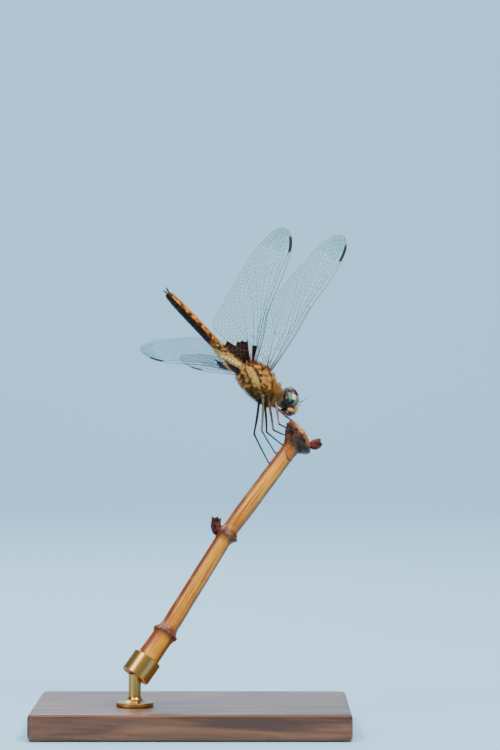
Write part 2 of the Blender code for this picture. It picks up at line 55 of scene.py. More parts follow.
# %% Frames
MM = 0.001
BODY_CENTRE = (16.4, 12.0, 84.4)
BODY_TURN = (-37.5, 30.3, 18.8)
ABDOMEN_POINT = (-6.0, 0.0, -0.6)
ABDOMEN_LIFT = 21.9
NECK_POINT = Vector((6.95, 0.25, -1.5))
HEAD_TURN = (46.6, 2.6, -11.8)


def frame_at(place, turn=(0.0, 0.0, 0.0)):
    """The matrix of a frame at a place, turned by three angles in degrees."""
    angles = Euler([math.radians(angle) for angle in turn])
    return Matrix.Translation(Vector(place)) @ angles.to_matrix().to_4x4()


body_frame = frame_at(BODY_CENTRE, BODY_TURN)
abdomen_frame = body_frame @ frame_at(ABDOMEN_POINT, (0.0, ABDOMEN_LIFT, 0.0))
head_centre = NECK_POINT + frame_at((0, 0, 0), HEAD_TURN) @ Vector((2.35, 0.0, 0.1))
head_frame = body_frame @ frame_at(head_centre, HEAD_TURN)
print("head at", [round(v, 2) for v in head_frame.translation])

# %% [markdown]
# ## Small helpers
# A few helpers do the routine work. One makes a shape into a finished piece: it puts it in
# its place, gives it its materials and hides the solids it stands for. One draws a smooth
# line through a few points and one reads a table between its rows, so that a form needs few
# numbers. Typing every point would work too, but nobody could correct it later.

# %% Helpers for shapes


def settle(name, bm, place, materials, replaced, smooth=True):
    """Put a shape in millimetres in its place and make it a finished piece."""
    bmesh.ops.transform(bm, matrix=Matrix.Scale(MM, 4) @ place, verts=bm.verts[:])
    mesh = bpy.data.meshes.new(name)
    bm.to_mesh(mesh)
    bm.free()
    if smooth:
        mesh.shade_smooth()
    for material in materials:
        mesh.materials.append(material)
    piece = bpy.data.objects.new(name, mesh)
    bpy.context.collection.objects.link(piece)
    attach(piece, "root")
    if replaced:
        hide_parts(*replaced)
    return piece


def smooth_path(points, step):
    """Points about a step apart on a smooth curve through the given ones."""
    points = [Vector(p) for p in points]
    out = []
    for i in range(len(points) - 1):
        a, b = points[i], points[i + 1]
        before = points[i - 1] if i else a * 2 - b
        after = points[i + 2] if i + 2 < len(points) else b * 2 - a
        parts = max(1, round((b - a).length / step))
        for k in range(parts):
            t = k / parts
            out.append(0.5 * (2 * a + (b - before) * t
                              + (2 * before - 5 * a + 4 * b - after) * t * t
                              + (3 * a - before - 3 * b + after) * t ** 3))
    out.append(points[-1])
    return out


def between(table, x):
    """Read a table of (x, value, ...) rows at x, smoothly between the rows."""
    if x <= table[0][0]:
        return table[0][1:]
    for i in range(len(table) - 1):
        if x <= table[i + 1][0]:
            low, high = table[i], table[i + 1]
            t = (x - low[0]) / (high[0] - low[0])
            before = table[i - 1] if i else low
            after = table[i + 2] if i + 2 < len(table) else high
            out = []
            for p0, p1, p2, p3 in zip(before[1:], low[1:], high[1:], after[1:]):
                curve = 0.5 * (2 * p1 + (p2 - p0) * t + (2 * p0 - 5 * p1 + 4 * p2 - p3) * t * t
                               + (3 * p1 - p0 - 3 * p2 + p3) * t ** 3)
                out.append(curve)
            return out
    return table[-1][1:]


def soft(value, low, high):
    """0 below low, 1 above high, smooth between."""
    t = min(max((value - low) / (high - low), 0.0), 1.0)
    return t * t * (3 - 2 * t)


# %% [markdown]
# ### Skins and rods
# A skin is a flat grid rolled into a tube, since its rows and columns can carry masks. A rod
# is a line with a thickness at each point. Rods could be built point by point, but a bevelled
# curve draws thousands of them at once, and gives plain mesh in the end.

# %% Helpers for skins and rods


def closed(bm):
    """Merge the points where a shape meets itself, and turn its faces outward."""
    bmesh.ops.remove_doubles(bm, verts=bm.verts[:], dist=1e-4)
    bmesh.ops.recalc_face_normals(bm, faces=bm.faces[:])
    return bm


def roll(along, around, masks, point_of):
    """A closed skin from a flat grid; point_of(share, angle) gives each place and its masks."""
    bm = bmesh.new()
    layers = {name: bm.verts.layers.float.new(name) for name in masks}
    grid = bmesh.ops.create_grid(bm, x_segments=along, y_segments=around, size=0.5)["verts"]
    for vert in grid:
        share = min(max(vert.co.x + 0.5, 0.0), 1.0)
        vert.co, values = point_of(share, (vert.co.y + 0.5) * math.tau)
        for name, value in values.items():
            vert[layers[name]] = value
    return closed(bm)


def joined(shapes):
    """Several shapes as one bmesh."""
    whole = bmesh.new()
    for bm in shapes:
        mesh = bpy.data.meshes.new("part")
        bm.to_mesh(mesh)
        bm.free()
        whole.from_mesh(mesh)
        bpy.data.meshes.remove(mesh)
    return whole


def path_tube(paths, sides=6, caps=True):
    """Round rods along paths of (point, radius), as one bmesh, drawn as a bevelled curve."""
    curve = bpy.data.curves.new("rods", "CURVE")
    curve.dimensions = "3D"
    curve.bevel_depth = 1.0
    curve.bevel_resolution = max(0, sides // 2 - 2)
    curve.use_fill_caps = caps
    for path in paths:
        spline = curve.splines.new("POLY")
        spline.points.add(len(path) - 1)
        for spot, (point, radius) in zip(spline.points, path):
            spot.co = (*point, 1.0)
            spot.radius = radius
    holder = bpy.data.objects.new("rods", curve)
    bpy.context.collection.objects.link(holder)
    graph = bpy.context.evaluated_depsgraph_get()
    mesh = bpy.data.meshes.new_from_object(holder.evaluated_get(graph))
    bm = bmesh.new()
    bm.from_mesh(mesh)
    bpy.data.objects.remove(holder)
    bpy.data.curves.remove(curve)
    bpy.data.meshes.remove(mesh)
    return bm


# %% [markdown]
# ## Finishes
# A finish here is one Principled shader. Numbers that are the same all over sit on the
# shader's own sockets. Where a colour changes over the surface, it is built up in layers:
# a mask between 0 and 1 chooses how much of the next colour shows. Masks come from noise or
# from values kept on the mesh, so a marking follows the surface it is on. A painted image
# could do the same, but masks need no unwrap, and skin and hair can share them.

# %% Helpers for finishes


def tone(red, green, blue):
    """A colour as a screen shows it, 0 to 255, turned into the linear one the shader needs."""
    return tuple((v / 255 / 12.92 if v <= 10 else ((v / 255 + 0.055) / 1.055) ** 2.4)
                 for v in (red, green, blue)) + (1.0,)


def finish(name, colour, roughness, **sockets):
    """A Principled material with plain values."""
    material = bpy.data.materials.new(name)
    material.use_nodes = True
    shader = material.node_tree.nodes["Principled BSDF"]
    shader.inputs["Base Color"].default_value = colour
    shader.inputs["Roughness"].default_value = roughness
    for socket, value in sockets.items():
        shader.inputs[socket.replace("_", " ").title().replace("Ior", "IOR")].default_value = value
    return material


def node(material, kind, inputs=(), **settings):
    """Add one shader node; an input is a plain value or another node's output."""
    made = material.node_tree.nodes.new(kind)
    for key, value in settings.items():
        setattr(made, key, value)
    for key, value in dict(inputs).items():
        if isinstance(value, bpy.types.NodeSocket):
            material.node_tree.links.new(value, made.inputs[key])
        else:
            made.inputs[key].default_value = value
    return made


def mark(material, name):
    """A mask kept on the mesh."""
    return node(material, "ShaderNodeAttribute", attribute_name=name).outputs["Fac"]


def ranged(material, value, low, high):
    """A mask: 0 where a value is below low, 1 where it is above high."""
    return node(material, "ShaderNodeMapRange",
                {"Value": value, "From Min": low, "From Max": high}).outputs["Result"]


def speckle(material, scale, low, high, detail=3.0):
    """A noise mask: 0 below low, 1 above high. Scale counts blotches per millimetre."""
    place = node(material, "ShaderNodeTexCoord").outputs["Object"]
    cloud = node(material, "ShaderNodeTexNoise",
                 {"Vector": place, "Scale": scale / MM, "Detail": detail}).outputs["Fac"]
    return ranged(material, cloud, low, high)


def patchy(material, name, scale, low, high):
    """A mask kept on the mesh, broken up by noise."""
    return both(material, mark(material, name), speckle(material, scale, low, high))


def both(material, first, second, how="MULTIPLY"):
    """Two masks combined."""
    return node(material, "ShaderNodeMath", {0: first, 1: second}, operation=how,
                use_clamp=True).outputs[0]


def mixed(material, mask, below, above):
    """One colour where the mask is 0, another where it is 1."""
    mix = node(material, "ShaderNodeMix", {0: mask, 6: below, 7: above}, data_type="RGBA")
    return mix.outputs[2]


def layered(material, ground, layers=()):
    """Lay colours over a ground, each through a mask or the name of one, for the shader."""
    colour = ground
    for mask, above in layers:
        if isinstance(mask, str):
            mask = mark(material, mask)
        colour = mixed(material, mask, colour, above)
    shader = material.node_tree.nodes["Principled BSDF"]
    material.node_tree.links.new(colour, shader.inputs["Base Color"])


def relief(material, height, depth, strength=1.0):
    """Give a surface fine relief of a depth in millimetres."""
    bump = node(material, "ShaderNodeBump", {"Height": height, "Distance": depth * MM,
                                             "Strength": strength})
    shader = material.node_tree.nodes["Principled BSDF"]
    material.node_tree.links.new(bump.outputs["Normal"], shader.inputs["Normal"])


# %% [markdown]
# ## Wing veins
# A dragonfly's wing is a clear membrane stretched over veins. The long veins fan out from the
# hinge: costa on the leading edge, subcosta up to the notch called the nodus, then radius,
# media, cubitus and anal vein. Each is drawn here through a few points, x from the hinge to
# the tip and y towards the leading edge. Two neighbouring veins enclose a field, and cross
# veins divide each field into cells. Narrow fields hold a ladder of cells, wide ones a mosaic.
# The net could be an image on a sheet, but real veins are round and catch the light, so it
# is drawn as lines that rods can follow.

# %% Long veins of the fore and hind wing
FORE_WING = {
    "leading": ((-0.4, 0.75), (4.0, 1.2), (10.0, 1.55), (17.5, 1.5), (25.0, 2.3), (31.0, 2.45),
                (34.6, 1.9), (36.3, 0.6), (36.75, -0.2)),
    "trailing": ((-0.4, -1.5), (2.2, -4.6), (5.2, -7.0), (10.0, -7.75), (16.5, -7.6),
                 (22.0, -6.7), (28.9, -5.1), (33.2, -3.9), (35.9, -2.0), (36.6, -0.9),
                 (36.75, -0.2)),
    "veins": {
        "subcosta": ((-0.3, 0.42), (4.0, 0.85), (10.0, 1.12), (15.5, 1.12), (17.5, 1.45)),
        "radius": ((-0.3, 0.1), (4.0, 0.38), (10.0, 0.52), (17.5, 0.62), (22.0, 1.05),
                   (27.0, 1.6), (30.4, 1.9), (34.5, 1.36), (36.5, 0.1)),
        "radial_1": ((4.6, 0.05), (8.0, -0.1), (13.0, -0.15), (17.8, -0.1), (22.0, 0.35),
                     (27.0, 0.85), (31.0, 0.95), (34.5, 0.35), (36.7, -0.6)),
        "radial_2": ((17.8, -0.1), (20.0, -0.35), (24.0, -0.45), (28.0, -0.5), (32.0, -0.95),
                     (35.8, -2.0)),
        "between_radials": ((12.5, -0.14), (16.0, -0.8), (20.0, -1.35), (25.0, -1.75),
                            (30.0, -2.35), (34.6, -3.1)),
        "radial_3": ((9.0, -0.12), (12.0, -0.85), (16.0, -1.9), (21.0, -3.0), (26.0, -4.3),
                     (29.4, -4.98)),
        "media": ((4.6, -0.35), (8.6, -1.1), (12.0, -1.75), (16.0, -2.75), (20.0, -4.1),
                  (23.5, -5.5), (25.3, -6.0)),
        "root_media": ((-0.3, -0.35), (4.6, -0.95), (7.1, -1.45)),
        "media_rear": ((7.9, -3.3), (11.0, -3.8), (15.0, -4.9), (18.5, -6.3), (20.4, -7.05)),
        "cubitus": ((7.9, -3.3), (9.5, -4.6), (11.5, -6.4), (13.0, -7.78)),
        "anal": ((-0.3, -0.8), (3.0, -1.7), (6.0, -2.7), (7.9, -3.3)),
    },
    "nodus": 17.5, "arculus": 4.6, "forks": (17.8, 12.5, 9.0),
    "triangle": ((7.1, -1.45), (8.6, -1.1), (7.9, -3.3)), "stigma": (30.4, 34.5),
}
HIND_OUTER = ((7.4, -11.5), (11.4, -10.7), (18.4, -8.7), (25.4, -6.3), (30.0, -4.2),
              (32.9, -2.0), (33.8, -0.6), (33.9, -0.1))
HIND_WING = {
    "leading": ((-0.4, 0.75), (3.5, 1.0), (8.0, 1.1), (13.0, 0.85), (21.0, 2.1), (27.0, 2.85),
                (30.8, 2.7), (32.9, 1.7), (33.7, 0.6), (33.9, -0.1)),
    "trailing": ((-0.4, -1.6), (-0.2, -3.2), (0.4, -5.3), (2.1, -8.2), (4.4, -10.8),
                 *HIND_OUTER),
    "veins": {
        "subcosta": ((-0.3, 0.35), (4.0, 0.62), (8.0, 0.7), (11.5, 0.55), (13.0, 0.82)),
        "radius": ((-0.3, 0.05), (4.0, 0.18), (8.0, 0.18), (13.0, 0.1), (18.0, 0.75),
                   (24.0, 1.65), (27.5, 2.26), (31.2, 1.9), (33.6, 0.3)),
        "radial_1": ((3.6, -0.15), (8.0, -0.4), (13.0, -0.5), (18.0, 0.05), (24.0, 0.95),
                     (28.5, 1.25), (31.5, 0.7), (33.8, -0.5)),
        "radial_2": ((13.4, -0.48), (17.0, -0.6), (22.0, -0.5), (27.0, -0.6), (30.5, -1.1),
                     (33.2, -1.7)),
        "between_radials": ((9.5, -0.45), (13.0, -1.15), (18.0, -1.6), (24.0, -2.0),
                            (29.0, -2.7), (32.0, -2.85)),
        "radial_3": ((7.0, -0.38), (10.0, -1.2), (15.0, -2.5), (20.0, -3.8), (24.5, -5.3),
                     (26.6, -5.85)),
        "media": ((3.6, -0.5), (6.3, -1.3), (10.0, -2.2), (15.0, -3.9), (19.5, -6.0),
                  (22.4, -7.35)),
        "root_media": ((-0.3, -0.35), (2.0, -0.75), (3.6, -1.05)),
        "media_rear": ((4.5, -2.5), (8.0, -3.6), (12.0, -5.3), (16.0, -7.6), (18.4, -8.7)),
        "cubitus": ((4.5, -2.5), (6.5, -4.6), (9.0, -7.3), (11.0, -9.6), (12.2, -10.5)),
        "anal": ((-0.3, -0.8), (1.8, -1.6), (4.5, -2.5)),
        "loop": ((1.8, -1.6), (2.6, -4.5), (3.6, -7.6), (5.0, -9.8), (6.1, -11.3)),
    },
    "nodus": 13.0, "arculus": 3.6, "forks": (13.4, 9.5, 7.0),
    "triangle": ((3.6, -1.05), (6.3, -1.3), (4.5, -2.5)), "stigma": (27.5, 31.2),
}
# How far each vein stands above or below the middle of the pleated membrane, in millimetres.
PLEATS = {"costa": 0.02, "subcosta": -0.16, "radius": 0.13, "radial_1": -0.11,
          "radial_2": -0.04, "between_radials": 0.08, "radial_3": -0.09, "media": 0.1,
          "root_media": -0.1, "media_rear": -0.09, "cubitus": 0.08, "anal": 0.05, "loop": 0.06,
          "margin": 0.0}

# %% [markdown]
# ## Places along a path
# Veins are paths here, plain lists of points. Fields need a stretch of a path, the point at a
# distance along it, and how far a place is from it. Blender's curves could tell that too, but
# a list is quicker to ask many thousand times.

# %% Helpers along a path


def part_of(path, start, end):
    """The stretch of a path between two places along the wing."""
    out = []
    for a, b in zip(path, path[1:]):
        if a.x < start < b.x:
            out.append(a.lerp(b, (start - a.x) / (b.x - a.x)))
        if start <= a.x <= end:
            out.append(a)
        if a.x < end < b.x:
            out.append(a.lerp(b, (end - a.x) / (b.x - a.x)))
    if start <= path[-1].x <= end:
        out.append(path[-1])
    clean = out[:1]
    for point in out[1:]:
        if (point - clean[-1]).length > 1e-4:
            clean.append(point)
    return clean


def place_at(path, x):
    """The point of a path at a distance along the wing."""
    for a, b in zip(path, path[1:]):
        if a.x <= x <= b.x:
            return a.lerp(b, (x - a.x) / max(b.x - a.x, 1e-9))
    return path[-1]


def along(path, share):
    """The point at a share of a path's length."""
    total = sum((b - a).length for a, b in zip(path, path[1:]))
    left = share * total
    for a, b in zip(path, path[1:]):
        step = (b - a).length
        if left <= step or (a, b) == (path[-2], path[-1]):
            return a.lerp(b, min(left / step, 1.0) if step else 0.0)
        left -= step
    return path[-1]


def distance_to(path, point):
    """The shortest distance from a point to a path."""
    best = 1e9
    for a, b in zip(path, path[1:]):
        run = b - a
        share = max(0.0, min(1.0, (point - a).dot(run) / max(run.length_squared, 1e-12)))
        best = min(best, (a + run * share - point).length)
    return best


# %% [markdown]
# ## Cells of the wing
# A mosaic of cells comes from seeds: each cell is the ground nearer to its own seed than to
# any other. To find it, the field's outline is cut back by one straight line for each
# neighbour, halfway between the two seeds. The seeds stand in rows between the two veins, a
# little out of line, as real cells do. A ladder is cut in the same way by its rungs. A
# Voronoi texture makes such a net too, but only as colour; here each cell has to be a shape.

# %% Cutting fields into cells


def keep_side(cell, place, outward, tag):
    """Cut a cell by a line and keep its inner side; each point carries its edge's tag."""
    out = []
    for index, (point, edge) in enumerate(cell):
        after = cell[(index + 1) % len(cell)][0]
        here, there = (point - place).dot(outward), (after - place).dot(outward)
        if here <= 0:
            out.append((point, edge))
            if there > 0:
                out.append((point + (after - point) * (here / (here - there)), tag))
        elif there <= 0:
            out.append((point + (after - point) * (here / (here - there)), edge))
    return out


def tipward(a, b):
    """The direction square to a line from a to b, on the side of the wing's tip."""
    across = Vector((a.y - b.y, b.x - a.x, 0.0))
    return across if across.x > 0 else -across


def ladder(border, front, back, rungs):
    """Cells between two veins, divided at the given shares of the way."""
    cells = []
    lines = [(along(front, s), along(back, s)) for s in rungs]
    for number in range(len(rungs) + 1):
        cell = [(p, None) for p in border]
        if number > 0:
            a, b = lines[number - 1]
            cell = keep_side(cell, (a + b) / 2, -tipward(a, b), "cross")
        if number < len(rungs) and len(cell) > 2:
            a, b = lines[number]
            cell = keep_side(cell, (a + b) / 2, tipward(a, b), None)
        if len(cell) > 2:
            cells.append(cell)
    return cells


def mosaic(border, front, back, row, pitch, chance):
    """Cells between two veins that spread apart, from seeds in staggered rows."""
    seeds = []
    length = (along(front, 1) - along(front, 0)).length
    columns = max(2, round(length / pitch))
    for column in range(columns):
        share = (column + 0.5) / columns
        a, b = along(front, share), along(back, share)
        rows = max(1, round((a - b).length / row))
        for number in range(rows):
            shift = (0.25 if (number + column) % 2 else -0.25) if rows > 1 else 0.0
            moved = min(max(share + shift / columns, 0.0), 1.0)
            a, b = along(front, moved), along(back, moved)
            seed = a.lerp(b, (number + 0.5) / rows)
            seed += Vector((chance.uniform(-1, 1), chance.uniform(-1, 1), 0)) * 0.11 * pitch
            seeds.append(seed)
    cells = []
    for index, seed in enumerate(seeds):
        cell = [(p, None) for p in border]
        others = sorted((o for o in range(len(seeds)) if o != index),
                        key=lambda o: (seeds[o] - seed).length_squared)[:14]
        for other in others:
            middle = (seed + seeds[other]) / 2
            cell = keep_side(cell, middle, seeds[other] - seed,
                             "cross" if other > index else None)
            if len(cell) < 3:
                break
        if len(cell) > 2:
            cells.append(cell)
    return cells


# %% [markdown]
# ## Fields of a wing
# The fields are listed once for both pairs of wings, because the veins have the same names.
# Each field is bounded by a front line and a back line; where both reach the edge of the
# wing, the edge closes it. The trailing cells are the smallest. One mosaic over the whole wing
# would be shorter, but real cells stop at the long veins.

# %% Listing the fields


def draw_wing(wing, chance):
    """Long veins as paths, and all cells, each with its front and back pleat."""
    edge_front = smooth_path([(x, y, 0) for x, y in wing["leading"]], 0.7)
    edge_back = smooth_path([(x, y, 0) for x, y in wing["trailing"]], 0.7)
    edge = edge_front + edge_back[::-1][1:]
    lines = {name: smooth_path([(x, y, 0) for x, y in points], 0.8)
             for name, points in wing["veins"].items()}

    def edge_between(first, second):
        """The wing's edge between two places on it, given in order round the wing."""
        i = min(range(len(edge)), key=lambda k: (edge[k] - first).length)
        j = min(range(len(edge)), key=lambda k: (edge[k] - second).length)
        return edge[i + 1:j] if j > i else []

    def edge_to(place):
        """The trailing edge from the hinge to a place on it."""
        reach = min(range(len(edge_back)), key=lambda k: (edge_back[k] - place).length)
        return edge_back[:reach + 1]

    nodus, arculus = wing["nodus"], wing["arculus"]
    fork_2, fork_between, fork_3 = wing["forks"]
    near, inner, low = (Vector((*corner, 0.0)) for corner in wing["triangle"])
    costa, radius, first = edge_front, lines["radius"], lines["radial_1"]
    media, root, anal = lines["media"], lines["root_media"], lines["anal"]
    fields = []

    def field(front, back, how, front_pleat, back_pleat, closes=False):
        """Note one field and cut it into cells."""
        border = list(front)
        if closes:
            border += edge_between(front[-1], back[-1])
        border += back[::-1]
        clean = [border[0]]
        for point in border[1:]:
            if (point - clean[-1]).length > 1e-3 and (point - clean[0]).length > 1e-3:
                clean.append(point)
        kind, *sizes = how
        if kind == "ladder":
            rungs = [(k + 1) / (sizes[0] + 1) for k in range(sizes[0])]
            if len(sizes) > 1:
                rungs = sizes[1]
            cells = ladder(clean, front, back, rungs)
        else:
            cells = mosaic(clean, front, back, *sizes, chance)
        fields.append((cells, front, back, front_pleat, back_pleat))

    field(part_of(costa, -0.3, nodus), lines["subcosta"], ("ladder", 8), "costa", "subcosta")
    field(lines["subcosta"], part_of(radius, -0.3, nodus), ("ladder", 7), "subcosta", "radius")
    start, end = wing["stigma"]
    tip_front, tip_back = part_of(costa, nodus, 99), part_of(radius, nodus, 99)
    reach = tip_back[-1].x - nodus
    rungs = [(k + 1) / 8 * (start - nodus) / reach for k in range(7)]
    rungs += [(start - nodus) / reach, (end - nodus) / reach]
    field(tip_front, tip_back, ("ladder", 0, rungs), "costa", "radius")
    field(part_of(radius, -0.3, arculus), part_of(root, -0.3, arculus), ("ladder", 0),
          "radius", "root_media")
    field(part_of(radius, arculus, 99), first, ("ladder", 17), "radius", "radial_1", True)
    field(part_of(first, fork_2, 99), lines["radial_2"], ("mosaic", 0.8, 1.15), "radial_1",
          "radial_2", True)
    field(part_of(first, fork_between, fork_2) + lines["radial_2"][1:],
          lines["between_radials"], ("mosaic", 0.95, 1.2), "radial_2", "between_radials", True)
    field(part_of(first, fork_3, fork_between) + lines["between_radials"][1:],
          lines["radial_3"], ("mosaic", 0.95, 1.15), "between_radials", "radial_3", True)
    field(part_of(first, arculus, fork_3) + lines["radial_3"][1:], media,
          ("mosaic", 1.0, 1.2), "radial_3", "media", True)
    field(part_of(media, arculus, inner.x), part_of(root, arculus, near.x) + [inner],
          ("ladder", 0), "media", "root_media")
    field([near, inner], [near, low], ("ladder", 0), "media", "root_media")
    field(part_of(media, inner.x, 99), lines["media_rear"], ("mosaic", 0.95, 1.05), "media",
          "media_rear", True)
    field(lines["media_rear"], lines["cubitus"], ("mosaic", 0.9, 1.0), "media_rear", "cubitus",
          True)
    field(part_of(root, -0.3, near.x), anal, ("ladder", 4), "root_media", "anal")
    if "loop" in lines:
        loop = lines["loop"]
        field(part_of(anal, loop[0].x, 99) + lines["cubitus"][1:], loop, ("mosaic", 0.95, 1.0),
              "cubitus", "loop", True)
        rear = part_of(anal, -0.3, loop[0].x) + loop[1:]
        field(rear, edge_to(rear[-1]), ("mosaic", 1.0, 0.95), "loop", "margin")
    else:
        rear = anal + lines["cubitus"][1:]
        field(rear, edge_to(rear[-1]), ("mosaic", 0.9, 0.95), "anal", "margin")
    return edge, edge_front, lines, fields


# %% [markdown]
# ## Finishes of the wings
# The membrane lets nearly all light through, so its material has a low alpha and keeps only
# a grey-green tint and a gloss. Tips are smokier. At the root of each hind wing is a dark
# patch, ragged because it fills whole cells, with amber veins and a yellow-green fringe. It
# could be painted, but one finish for each cell gives the ragged edge by itself.

# %% Wing materials
membrane = finish("wing membrane", tone(176, 208, 200), 0.3, alpha=0.2)
membrane_tip = finish("smoky wing tip", tone(122, 166, 142), 0.32, alpha=0.34)
membrane_end = finish("smokiest wing tip", tone(96, 150, 112), 0.32, alpha=0.46)
fringe = finish("yellow-green fringe", tone(156, 176, 78), 0.4, alpha=0.42, specular_ior_level=0.3)
patch = finish("dark wing patch", tone(14, 5, 3), 0.5, specular_ior_level=0.12)
patch_amber = finish("amber wing patch", tone(64, 22, 4), 0.5, specular_ior_level=0.12)
vein_dark = finish("wing vein", tone(34, 34, 36), 0.45)
vein_red = finish("red wing vein", tone(84, 24, 10), 0.4)
vein_amber = finish("amber vein", tone(112, 44, 10), 0.45)
stigma_brown = finish("wing stigma", tone(34, 30, 20), 0.45)
WING_FINISHES = (membrane, membrane_tip, membrane_end, fringe, patch, patch_amber, vein_dark,
                 vein_red, vein_amber, stigma_brown)
CLEAR, TIP, END, FRINGE, PATCH, AMBER, VEIN, RED, AMBER_VEIN, STIGMA = range(10)

# The dark patch by its corners, in millimetres from the hinge.
PATCH_CORNERS = ((-1.2, -0.6), (0.3, -1.0), (3.6, -1.9), (4.4, -2.6), (3.9, -4.3), (2.8, -5.3),
                 (3.25, -6.4), (2.95, -7.5), (2.2, -8.6), (-0.6, -5.6), (-1.8, -3.1))


def inside(corners, point):
    """Whether a point is inside a shape given by its corners."""
    within = False
    for (ax, ay), (bx, by) in zip(corners, (*corners[1:], corners[0])):
        if (ay > point.y) != (by > point.y):
            if point.x < ax + (point.y - ay) / (by - ay) * (bx - ax):
                within = not within
    return within


patch_line = [Vector((*corner, 0)) for corner in (*PATCH_CORNERS, PATCH_CORNERS[0])]


def cell_finish(middle, span, is_hind, streak_end, chance):
    """Which finish a cell has, from where its middle is."""
    if is_hind:
        if middle.x < streak_end:
            return PATCH
        if inside(PATCH_CORNERS, middle):
            return AMBER if chance.random() < 0.08 else PATCH
        if middle.y < -1.5 and distance_to(patch_line, middle) < 0.6:
            return FRINGE
    elif middle.x < 2.0 and middle.y < -0.5:
        return FRINGE
    smoke = (middle.x - 0.80 * span) / (0.17 * span) + chance.uniform(-0.12, 0.12)
    return END if smoke > 0.75 else TIP if smoke > 0.25 else CLEAR


# %% [markdown]
# ## Lifting a wing off the drawing
# The membrane is not flat: long veins lie alternately on ridges and in furrows, which makes
# the wing stiff, and the whole wing is slightly arched. A wing could be drawn flat and bent
# by a modifier, but the pleats go with the veins, so each point is lifted by itself. The two
# hind wings also give way to the abdomen, each with its inner edge.

# %% Places and folds of the wings
# hinge in the body frame, then sweep, raise and pitch in degrees
WING_PLACES = {
    "wing_fore_right": ((0.8, -2.41, 3.35), -2.7, 40.6, -3.2),
    "wing_fore_left": ((0.8, 2.41, 3.35), -14.2, 35.5, -3.0),
    "wing_hind_right": ((-4.0, -2.41, 2.2), -21.5, 33.0, -4.9),
    "wing_hind_left": ((-4.0, 2.41, 2.2), -31.0, 28.1, -7.4),
}
CAMBER = 0.2           # how far the middle of a wing is arched up
# the right hind wing's inner edge is drawn in and sags: distance behind the hinge, how far
SAG = ((1.8, 0.0), (3.1, 1.0), (5.5, 0.8), (7.5, 1.4), (9.5, 1.0), (11.5, 0.2))
SAG_END = 4.0          # no point further out along the wing is moved by the sag
DROOP = Vector((-0.28, -0.65, -0.71))      # the way it sags, in the body frame
DROOP_DEPTH = 1.5
# the left hind wing's inner edge is drawn towards the tip: place across the wing, how far
TUCK = ((-12.0, 0.4), (-10.4, 1.3), (-8.2, 2.2), (-5.3, 2.1), (-3.2, 1.4), (-1.6, 0.0))
TUCK_END = 9.0         # no point further out along the wing is moved by the tuck


def wing_lift(name, edge, span, turn):
    """A function that lifts a point of a wing's flat drawing to its place in the wing's frame."""
    side = 1.0 if name.endswith("left") else -1.0
    droop = turn.inverted().to_3x3() @ DROOP * DROOP_DEPTH

    def raised(point, pleat):
        """The place in space of a point of the flat drawing."""
        edge_room = min(1.0, distance_to(edge, point) / 1.3)
        camber = CAMBER * edge_room * math.sin(math.pi * min(1.0, max(point.x, 0.0) / span))
        height = camber + pleat * edge_room * (1 - 0.6 * point.x / span)
        x = point.x
        if name == "wing_hind_left" and x < TUCK_END:
            x += between(TUCK, point.y)[0] * (1 - max(x, 0.0) / TUCK_END)
        if name == "wing_hind_right" and x < SAG_END and point.y < -SAG[0][0]:
            near_root = (1 - soft(x, 0.5, SAG_END)) * soft(-point.y, SAG[0][0], 3.4)
            x -= near_root * between(SAG, -point.y)[0]
            return Vector((point.y, side * x, height)) + droop * near_root
        return Vector((point.y, side * x, height))

    return raised


# %% [markdown]
# ## The membrane
# Real membrane is thinner than paper, and each cell of it is a small pane that glints by
# itself. One face for each cell gives that look with few faces. The mark near the tip, the
# stigma, is a thickened cell, so it gets a lid above and another below.

# %% Membrane
CROSS_VEIN = 0.026     # the radius of the thin veins between cells
STIGMA_HALF = 0.09     # how far the lids of the stigma stand off the membrane


def cell_kind(name, wing, veins, middle, span, chance):
    """The finish of a cell, from the two veins it lies between and its middle."""
    is_hind = "hind" in name
    streak_end = 4.7 if veins == ("radius", "root_media") else -9.0
    if name == "wing_hind_left" and middle.y > -2.3:
        streak_end = 8.0 if middle.y < 0.6 else 6.4
    kind = cell_finish(middle, span, is_hind, streak_end, chance)
    fringed = veins[1] == "anal" or veins == ("media", "root_media")
    if is_hind and kind == CLEAR and middle.x < 4.7 and fringed:
        kind = FRINGE
    if veins == ("costa", "radius") and wing["stigma"][0] < middle.x < wing["stigma"][1]:
        kind = STIGMA
    return kind


def lay_membrane(name, wing, fields, span, raised, rods, chance):
    """One face for each cell; the cross veins round it are noted in rods."""
    bm = bmesh.new()
    for cells, front, back, front_pleat, back_pleat in fields:
        for cell in cells:
            corners = []
            for point, _ in cell:
                to_front, to_back = distance_to(front, point), distance_to(back, point)
                share = to_front / (to_front + to_back + 1e-6)
                pleat = PLEATS[front_pleat] * (1 - share) + PLEATS[back_pleat] * share
                corners.append(raised(point, pleat))
            middle = sum((point for point, _ in cell), Vector()) / len(cell)
            kind = cell_kind(name, wing, (front_pleat, back_pleat), middle, span, chance)
            face = bm.faces.new([bm.verts.new(corner) for corner in corners])
            face.material_index = kind
            for index, (_, tag) in enumerate(cell):
                if tag == "cross":
                    a, b = corners[index], corners[(index + 1) % len(cell)]
                    colour = AMBER_VEIN if kind in (PATCH, AMBER) else VEIN
                    rods[colour].append([(a, CROSS_VEIN), (b, CROSS_VEIN)])
    return bm


def close_membrane(bm):
    """Merge the corners of neighbouring cells, turn all faces up and give the stigma its lids."""
    bmesh.ops.remove_doubles(bm, verts=bm.verts[:], dist=0.02)
    for face in bm.faces:
        face.normal_update()
        if face.normal.z < 0:
            face.normal_flip()
    stigmas = [f for f in bm.faces if f.material_index == STIGMA]
    for thickness in (STIGMA_HALF, -STIGMA_HALF):
        lid = bmesh.ops.duplicate(bm, geom=stigmas)["geom"]
        lid_verts = [g for g in lid if isinstance(g, bmesh.types.BMVert)]
        bmesh.ops.translate(bm, vec=(0, 0, thickness), verts=lid_verts)


